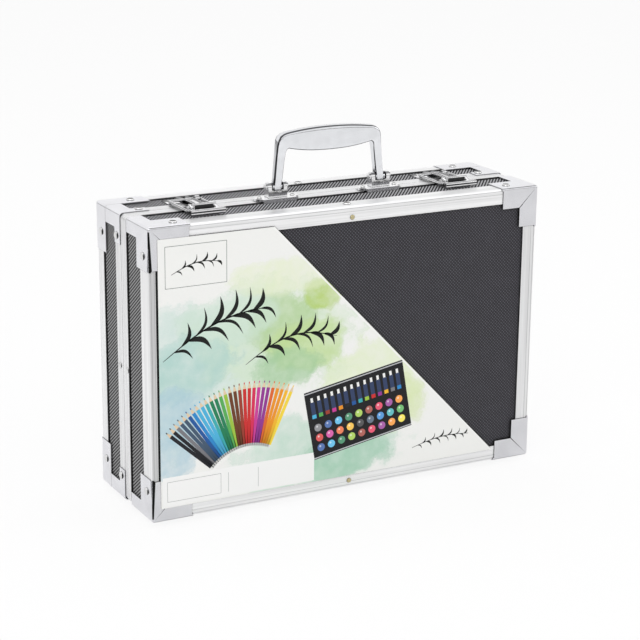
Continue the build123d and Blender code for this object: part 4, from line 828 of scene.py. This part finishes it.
# the handle: a rounded rectangle carried along the bow; its half width is half the gap between the
# outer and inner outlines, its half depth swells from the legs to the grip, and its outer side is crowned
def makeHandle():
    size = {"x": 0.0034, "y": -0.0030, "pin": 0.2302, "legDepth": 0.0030, "gripDepth": 0.0039, "gripFrom": 0.024,
            "gripFade": 0.008, "round": 0.0010, "crown": 0.0009, "barrelAt": 0.043}
    # the right half of both outlines, as x and height over the pin; the tops sag to their ends by a power of x
    across = np.linspace(-1.0, 1.0, 40)
    outerTop = np.stack([0.0355 * across, 0.0421 - 0.0026 * np.abs(across) ** 2.2], axis=-1)
    rightCorner = np.array([(0.0355, 0.0395), (0.0385, 0.0386), (0.0410, 0.0368), (0.0425, 0.0340), (0.0431, 0.0310)])
    rightLeg = np.array([(0.0437, 0.0255), (0.0447, 0.0150), (0.0455, 0.0060), (0.0463, 0.0), (0.0463, -0.0028)])
    innerTop = np.stack([0.0340 * across, 0.0243 + 0.0034 * np.abs(across) ** 2.4], axis=-1)
    innerCorner = np.array([(0.0340, 0.0277), (0.0352, 0.0273), (0.0361, 0.0262), (0.0365, 0.0245), (0.0367, 0.0225)])
    innerLeg = np.array([(0.0370, 0.0200), (0.0381, 0.0110), (0.0390, 0.0040), (0.0397, 0.0), (0.0397, -0.0028)])

    # an outline from foot to foot: left leg and corner mirrored from the right ones, top, right corner and leg
    def outline(top, corner, leg):
        mirrorX = np.array([-1.0, 1.0])
        return np.vstack([evenPath((leg * mirrorX)[::-1], 24)[:-1], evenPath((corner * mirrorX)[::-1], 20)[:-1],
                          evenPath(top, 60)[:-1], evenPath(corner, 20)[:-1], evenPath(leg, 24)])

    outer, inner = outline(outerTop, rightCorner, rightLeg), outline(innerTop, innerCorner, innerLeg)
    middle, half = (outer + inner) / 2, (outer - inner) / 2
    lift = np.clip((middle[:, 1] - size["gripFrom"]) / size["gripFade"], 0, 1)
    depth = size["legDepth"] + (size["gripDepth"] - size["legDepth"]) * lift * lift * (3 - 2 * lift)
    turn = np.linspace(0.0, 2 * math.pi, 40, endpoint=False)
    quarter = np.linspace(0.0, 0.5 * math.pi, 7)
    flat = np.linspace(-1.0, 1.0, 9)[1:-1]
    # signs of the four corners, with the points of each corner's arc and of the flat that follows it
    out, deep, bendOut, bendDeep = [], [], [], []
    signs = ((1, 1), (-1, 1), (-1, -1), (1, -1))
    share = (flat + 1) / 2
    for k, (signOut, signDeep) in enumerate(signs):
        nextOut, nextDeep = signs[(k + 1) % 4]
        angle = quarter + 0.5 * k * math.pi
        out += [signOut] * 7 + (signOut + (nextOut - signOut) * share).tolist()
        deep += [signDeep] * 7 + (signDeep + (nextDeep - signDeep) * share).tolist()
        bendOut += np.cos(angle).tolist() + [np.cos(angle[-1])] * 7
        bendDeep += np.sin(angle).tolist() + [np.sin(angle[-1])] * 7
    out, deep, bendOut, bendDeep = (np.array(a)[None, :] for a in (out, deep, bendOut, bendDeep))
    length = np.linalg.norm(half, axis=1, keepdims=True)
    normal = half / length
    width, thick = length - size["round"], depth[:, None] - size["round"]
    level = deep * thick + size["round"] * bendDeep
    fall = size["crown"] * np.clip(bendOut, 0, 1) * (level / depth[:, None]) ** 2
    reach = out * width + size["round"] * bendOut - fall
    x = size["x"] + middle[:, :1] + normal[:, :1] * reach
    z = size["pin"] + middle[:, 1:] + normal[:, 1:] * reach
    y = size["y"] + level
    bow = {"points": np.stack([x, y, z], axis=-1), "loop": True, "caps": True}
    barrels = []
    for side in (-1, 1):
        radius = np.array([0.0026, 0.0029, 0.0030, 0.0030, 0.0029, 0.0026])[:, None]
        reach = np.array([-0.0041, -0.0040, -0.0037, 0.0037, 0.0040, 0.0041])[:, None]
        bx = size["x"] + side * size["barrelAt"] + reach + 0 * turn
        points = np.stack([bx, size["y"] + radius * np.cos(turn), size["pin"] + radius * np.sin(turn)], axis=-1)
        barrels.append({"points": points, "loop": True, "caps": True})
    makePiece("carryHandle", [bow] + barrels, "handle", "handle_body", hides=("handle",))


# the closed outline of a sheet that follows a path: the path, and the same path moved by the sheet's thickness
def sheetOutline(path, thickness):
    path = np.asarray(path, float)
    heading = np.gradient(path, axis=0)
    heading /= np.linalg.norm(heading, axis=1, keepdims=True)
    side = np.stack([-heading[:, 1], heading[:, 0]], axis=-1)
    return np.vstack([path + side * thickness / 2, (path - side * thickness / 2)[::-1]])


# a section in y and z carried along x; its ends draw in a little so that the edge catches light
def carryAlongX(section, left, right, draw=0.0002):
    section = np.asarray(section, float)
    middle = section.mean(axis=0)
    stations = np.array([left, left + draw, right - draw, right])
    shrink = np.array([1 - draw * 60, 1.0, 1.0, 1 - draw * 60])
    flat = middle + (section[None, :, :] - middle) * shrink[:, None, None]
    x = np.broadcast_to(stations[:, None], flat.shape[:2])
    return {"points": np.stack([x, flat[..., 0], flat[..., 1]], axis=-1), "loop": True, "caps": True}


# the corners of a section between two places in y and two levels
def rectangle(front, back, low, high):
    return [(front, low), (back, low), (back, high), (front, high)]


# domes on the sides of the seam rims, half way up: circles that draw in as they rise, by a quarter turn's cosine
def makeRimRivets():
    size = {"radius": 0.0024, "rise": 0.0011, "level": 0.1070, "side": 0.1593, "places": (0.0084, -0.0052)}
    turn = np.linspace(0.0, 2 * math.pi, 28, endpoint=False)[None, :]
    lift = np.linspace(0.0, 0.5 * math.pi, 8)[:, None]
    for half, y in zip(("back", "front"), size["places"]):
        domes = []
        for side in (-1, 1):
            spread = size["radius"] * np.cos(lift * 0.985)
            x = side * (size["side"] + size["rise"] * np.sin(lift)) + 0 * turn
            points = np.stack([x, y + spread * np.cos(turn), size["level"] + spread * np.sin(turn)], axis=-1)
            domes.append({"points": points, "loop": True, "caps": True})
        makePiece(f"{half}RimRivets", domes, "rivet", f"{half}_half")


# a plate with an obround hole that leans up to the back: points blend from the hole's outline to the plate's
def holedPlate(outer, hole, low, high, lean):
    turn = np.linspace(0.0, 2 * math.pi, 72, endpoint=False)
    (x0, x1), (y0, y1) = outer
    holeX, holeY, holeHalf, holeRound = hole
    c, s = np.cos(turn), np.sin(turn)
    straight = (holeHalf - holeRound) * np.clip(c * 3, -1, 1)
    inner = np.stack([holeX + straight + holeRound * c, holeY + holeRound * s], axis=-1)
    scale = 1.0 / np.maximum(np.abs(c), np.abs(s))
    rim = np.stack([(x0 + x1) / 2 + (x1 - x0) / 2 * c * scale, (y0 + y1) / 2 + (y1 - y0) / 2 * s * scale], axis=-1)
    edge, across = 0.0002, rim - inner
    levels = [(inner, low), (inner, high - edge), (inner + across * 0.03, high), (inner + across * 0.96, high),
              (rim, high - edge), (rim, low), (inner, low)]
    rows = [np.column_stack([flat, z + lean * (flat[:, 1] - y0)]) for flat, z in levels]
    return {"points": np.stack(rows), "loop": True}


latchPlaces = {"left": -0.1045, "right": 0.1045}


# each latch: a lever with a holed plate, a rolled lip, a barrel and a raised bar, with a black riser and black sheets
# below that stand in for shade;
# every part but the plate is a section in y and z carried along x
def makeLatch(name, x, leverBody):
    size = {
        "plate": (-0.0246, -0.0146), "plateHalf": 0.0106, "plateLow": 0.2232, "plateHigh": 0.2240, "lean": 0.26,
        "holeAt": (-0.0006, -0.0220), "holeHalf": 0.0066, "holeRound": 0.0018,
        "sheet": 0.0008, "lipHalf": 0.0134, "upperCurl": (-0.02640, 0.22380), "lowerCurl": (-0.02650, 0.22180),
        "pivot": (-0.0125, 0.2226), "barrel": 0.0019, "barrelHalf": 0.0072,
        "bar": (-0.0199, 0.2270), "barRound": 0.0009, "barFrom": -0.0098, "barTo": 0.0086,
        "wing": (0.0100, 0.0108), "wingRound": 0.0018,
        "slot": (-0.0212, -0.0207), "slotLow": 0.2230, "slotHigh": 0.2266, "slotFrom": -0.0078, "slotTo": 0.0066,
        # for each step of the black sheet of painted shade its front, its back and its level
        "shadeSheets": ((-0.0262, -0.0094, 0.22048), (-0.0094, 0.0022, 0.22072)), "shadeSheetThick": 0.0001,
        "shadeSheetFrom": -0.0110, "shadeSheetTo": 0.0085, "thinDraw": 0.00001,
    }
    lip = np.vstack([
        [(-0.0238, 0.2242), (-0.0252, 0.2242)], arc(size["upperCurl"], 0.0008, 90, 250, 10),
        [(-0.02600, 0.2226)], arc(size["lowerCurl"], 0.0007, 100, 280, 9),
    ])
    half, (holeX, holeY) = size["plateHalf"], size["holeAt"]
    hole = (x + holeX, holeY, size["holeHalf"], size["holeRound"])
    barrel, barArc = arc(size["pivot"], size["barrel"], 0, 350, 28), arc(size["bar"], size["barRound"], 0, 345, 24)
    levers = [
        holedPlate(((x - half, x + half), size["plate"]), hole, size["plateLow"], size["plateHigh"], size["lean"]),
        carryAlongX(sheetOutline(evenPath(lip, 40), size["sheet"]), x - size["lipHalf"], x + size["lipHalf"]),
        carryAlongX(barrel, x - size["barrelHalf"], x + size["barrelHalf"]),
        carryAlongX(barArc, x + size["barFrom"], x + size["barTo"]),
    ]
    wing = np.vstack([[(-0.0268, 0.2244), (-0.0268, 0.2216), (-0.0125, 0.2209)],
                      arc(size["pivot"], size["wingRound"], -80, 90, 12)])
    for side in (-1, 1):
        levers.append(carryAlongX(wing, *sorted(x + side * edge for edge in size["wing"]), draw=0.0001))
    makePiece(f"{name}LeverShell", levers, "latch", leverBody, hides=(f"{name}_latch_lever",))
    # painted shade: a black riser put in the shadow under the raised bar
    riser = rectangle(*size["slot"], size["slotLow"], size["slotHigh"])
    gap = carryAlongX(riser, x + size["slotFrom"], x + size["slotTo"], draw=size["thinDraw"])
    makePiece(f"{name}LeverShadeRiser", [gap], "shadeSheet", leverBody, smooth=False)
    # painted shade: black sheets put in the shade below the lever, seen through its hole
    shadeSheets = []
    for front, back, level in size["shadeSheets"]:
        section = rectangle(front, back, level, level + size["shadeSheetThick"])
        shadeSheets.append(carryAlongX(section, x + size["shadeSheetFrom"], x + size["shadeSheetTo"], draw=size["thinDraw"]))
    makePiece(f"{name}LatchShadeSheet", shadeSheets, "shadeSheet", "front_half", smooth=False)


# the catch: a plate on the strip, an arm and a curl; the arm's height follows a sine over the seam,
# plus a bell curve for the raised rim on each side, less a dish between them
def makeCatches():
    size = {
        "plate": (0.0130, 0.0300, 0.2196, 0.2204), "half": 0.0120,
        "armLeft": -0.0016, "armRight": 0.0072, "armBack": 0.0275, "armLong": 0.0346, "armLevel": 0.2206,
        "crown": 0.0030, "rimRise": 0.0011, "rimAt": 0.82, "endShadeWide": 0.16, "dish": 0.0005, "taper": 0.25,
        "sheet": 0.0008, "curl": (0.0144, 0.2232), "curlRound": 0.0016, "curlFrom": 0.0076, "curlTo": 0.0112,
    }
    grids = []
    for x in latchPlaces.values():
        grids.append(carryAlongX(rectangle(*size["plate"]), x - size["half"], x + size["half"]))
        v = np.linspace(0.0, 1.0, 40)[:, None]
        u = np.linspace(-1.0, 1.0, 41)[None, :]
        y = size["armBack"] - size["armLong"] * v + 0 * u
        crown = size["armLevel"] + size["crown"] * np.sin(math.pi * np.clip(v * 0.62 + 0.05, 0, 1)) ** 0.8
        rims = size["rimRise"] * np.exp(-((np.abs(u) - size["rimAt"]) / size["endShadeWide"]) ** 2)
        z = crown + rims - size["dish"] * (1 - u * u)
        wide = (size["armRight"] - size["armLeft"]) / 2
        centre = x + (size["armRight"] + size["armLeft"]) / 2
        top = np.stack([centre + u * wide * (1 - size["taper"] * v), y, z], axis=-1)
        under = top[:, ::-1].copy()
        under[..., 2] -= size["sheet"]
        grids.append({"points": np.concatenate([top, under], axis=1), "loop": True, "caps": True})
        curl = sheetOutline(arc(size["curl"], size["curlRound"], -70, 200, 26), size["sheet"])
        grids.append(carryAlongX(curl, x + size["curlFrom"], x + size["curlTo"]))
    makePiece("catchHooks", grids, "latch", "back_half", hides=("latch_catches",))


# a liner: the floor raised to a level, less a smooth well round each thing that lies in it; the back one
# is ridged, its height the square of half a cosine along x, once for each pencil
def makeLiners():
    size = {
        "halfLength": 0.1486, "halfWidth": 0.0996, "floor": 0.0193, "thick": 0.0040, "edge": 0.0009, "film": 0.0001,
        "pansAt": (-0.0728, -0.0488), "panPitch": 0.025, "pan": 0.0111,
        "palettes": ((0.0504, -0.0488), (0.1024, -0.0488)), "palette": 0.0258,
        "sticksLeft": -0.1428, "sticksLow": 0.0038, "stickPitch": 0.011,
        "brush": (0.1660, 0.0034), "pencil": (0.1752, 0.0041),
        # for each loose thing its middle along x, its half length and its half width
        "loose": ((0.0516, 0.0075, 0.0125), (0.0905, 0.0090, 0.0210), (0.1294, 0.0130, 0.0240)),
        "looseLevel": 0.0521, "looseGap": 0.0006,
        "ridgePitch": 0.0092, "ridge": 0.0022, "endFrom": 0.088, "endFade": 0.004, "end": 0.0008,
    }
    seam, middle = caseBody["seam"], caseBody["middle"]
    x = np.linspace(-size["halfLength"], size["halfLength"], 256)[:, None]
    z = np.linspace(-size["halfWidth"], size["halfWidth"], 172)[None, :]
    # how far each point lies from the nearest well
    gap = np.full((256, 172), 1.0)
    panX, panZ = size["pansAt"]
    wells = [(panX + (column - 2.5) * size["panPitch"], panZ + (line - 1.5) * size["panPitch"], size["pan"])
             for column in range(6) for line in range(4)]
    wells += [(*at, size["palette"]) for at in size["palettes"]]
    for atX, atZ, radius in wells:
        gap = np.minimum(gap, np.hypot(x - atX, z - atZ) - radius)
    for index in range(5):
        long, wide = size["pencil"] if index > 2 else size["brush"]
        level = size["sticksLow"] + (index + 0.7) * size["stickPitch"]
        ends = np.maximum(size["sticksLeft"] - x, x - size["sticksLeft"] - long)
        gap = np.minimum(gap, np.maximum(ends, np.abs(z - level) - wide))
    for at, long, wide in size["loose"]:
        away = np.maximum(np.abs(x - at) - long, np.abs(z - size["looseLevel"]) - wide)
        gap = np.minimum(gap, away - size["looseGap"])
    share = np.clip(gap / size["edge"], 0, 1)
    height = size["thick"] * share * share * (3 - 2 * share) + size["film"]
    points = np.stack([x + 0 * z, seam - (size["floor"] - height), middle + z + 0 * x], axis=-1)
    makePiece("frontTrayLiner", [{"points": points}], "liner", "front_half")
    x = np.linspace(-size["halfLength"], size["halfLength"], 32 * 9 + 1)[:, None]
    z = np.linspace(-size["halfWidth"], size["halfWidth"], 24)[None, :]
    ridge = 0.5 + 0.5 * np.cos(2 * math.pi * x / size["ridgePitch"])
    ends = np.clip((np.abs(z) - size["endFrom"]) / size["endFade"], 0, 1)
    height = size["film"] + size["ridge"] * ridge ** 2 + size["end"] * ends
    points = np.stack([x + 0 * z, seam + size["floor"] - height, middle + z + 0 * x], axis=-1)
    makePiece("backTrayLiner", [{"points": points}], "liner", "back_half")


makeCard()
makePrint()
print("pieces: painted card and its print")
makeHandle()
for name, x in latchPlaces.items():
    makeLatch(name, x, f"{name}_lever")
makeCatches()
makeRimRivets()
print("pieces: handle, levers and catches")
makeLiners()
print("pieces: tray liners")


# the camera: looking along an azimuth and down by a drop, rolled a little about its line of sight
def placeCamera():
    view = {"place": (-0.65325, -1.23099, 0.53239), "azimuth": 27.933, "drop": 16.387, "roll": 0.516,
            "focal": 1923.03, "pixels": 640.0, "sensor": 36.0, "near": 0.05, "far": 30.0}
    azimuth, drop, roll = (math.radians(view[k]) for k in ("azimuth", "drop", "roll"))
    forward = Vector((math.sin(azimuth) * math.cos(drop), math.cos(azimuth) * math.cos(drop), -math.sin(drop)))
    right = Vector((math.cos(azimuth), -math.sin(azimuth), 0.0))
    up = right.cross(forward)
    turnedRight = math.cos(roll) * right + math.sin(roll) * up
    turnedUp = -math.sin(roll) * right + math.cos(roll) * up
    camera = bpy.data.objects.new("camera", bpy.data.cameras.new("camera"))
    camera.data.sensor_width = view["sensor"]
    camera.data.lens = view["focal"] / view["pixels"] * view["sensor"]
    camera.data.clip_start, camera.data.clip_end = view["near"], view["far"]
    matrix = Matrix((turnedRight, turnedUp, -forward)).transposed().to_4x4()
    matrix.translation = Vector(view["place"])
    camera.matrix_world = matrix
    bpy.context.scene.collection.objects.link(camera)
    bpy.context.scene.camera = camera


lampAim = Vector((0.0, 0.0, 0.1))


def addAreaLamp(name, place, size, power):
    lamp = bpy.data.lights.new(name, "AREA")
    lamp.shape = "RECTANGLE"
    lamp.size, lamp.size_y = size
    lamp.energy = power
    holder = bpy.data.objects.new(name, lamp)
    holder.location = place
    holder.rotation_mode = "QUATERNION"
    holder.rotation_quaternion = (lampAim - Vector(place)).to_track_quat("-Z", "Y")
    bpy.context.scene.collection.objects.link(holder)


# white to the camera, an even grey to the object, and to its gloss a sweep that darkens downwards and in a band
def lightWorld():
    look = {"ambient": 0.66, "low": 0.66, "high": 1.0, "sweepFrom": -0.35, "sweepTo": 0.25,
            "band": 0.40, "bandAt": -0.02, "bandHalf": 0.06, "bandSoft": 0.06}
    world = bpy.data.worlds.new("studio")
    world.use_nodes = True
    bpy.context.scene.world = world
    tree = world.node_tree
    path = tree.nodes.new("ShaderNodeLightPath")
    seen, glossy, clear = (Field(path.outputs[f"Is {kind} Ray"]) for kind in ("Camera", "Glossy", "Transmission"))
    up = axes(tree, "Generated")[2]
    fromBand = abs(up - look["bandAt"])
    sweep = fade(up, look["sweepFrom"], look["sweepTo"], look["low"], look["high"])
    sweep = sweep * fade(fromBand, look["bandHalf"], look["bandHalf"] + look["bandSoft"], look["band"], 1.0)
    strength = larger(glossy * sweep + (1.0 - glossy) * look["ambient"], seen, clear)
    background = tree.nodes["Background"]
    feed(background.inputs["Color"], (1.0, 1.0, 1.0))
    feed(background.inputs["Strength"], strength)


# a pale floor; the camera sees a thin veil of it over white, so the case keeps a faint shade under it
def layFloor():
    look = {"half": 3.0, "deep": (0.90, 0.90, 0.90), "lit": (0.94, 0.94, 0.94), "glow": 0.10, "veil": 0.86}
    h = look["half"]
    mesh = bpy.data.meshes.new("floor")
    mesh.from_pydata([(-h, -h, 0), (h, -h, 0), (h, h, 0), (-h, h, 0)], [], [(0, 1, 2, 3)])
    floor = bpy.data.objects.new("floor", mesh)
    bpy.context.scene.collection.objects.link(floor)
    material, tree = startMaterial("paleFloor", 0.9, specular=0.1)
    shader = tree.nodes["Principled BSDF"]
    feed(shader.inputs["Base Color"], blend(grain(tree, 3, 2.0), look["deep"], look["lit"]))
    feed(shader.inputs["Emission Color"], (1.0, 1.0, 1.0))
    shader.inputs["Emission Strength"].default_value = look["glow"]
    path = tree.nodes.new("ShaderNodeLightPath")
    clear = tree.nodes.new("ShaderNodeBsdfTransparent")
    mix = tree.nodes.new("ShaderNodeMixShader")
    through = larger(Field(path.outputs["Is Camera Ray"]) * look["veil"], Field(path.outputs["Is Shadow Ray"]))
    feed(mix.inputs["Fac"], through)
    tree.links.new(shader.outputs[0], mix.inputs[1])
    tree.links.new(clear.outputs[0], mix.inputs[2])
    tree.links.new(mix.outputs[0], tree.nodes["Material Output"].inputs["Surface"])
    mesh.materials.append(material)


placeCamera()
lightWorld()
layFloor()
addAreaLamp("keyLamp", (-1.3, -1.6, 1.9), (1.6, 1.2), 14.5)
addAreaLamp("fillLamp", (1.7, -0.9, 1.1), (1.4, 1.4), 5.0)
addAreaLamp("topLamp", (0.1, 0.3, 2.1), (1.8, 1.8), 8.0)
bpy.context.scene.view_settings.view_transform = "Standard"
print("studio: camera, three lamps and the floor")
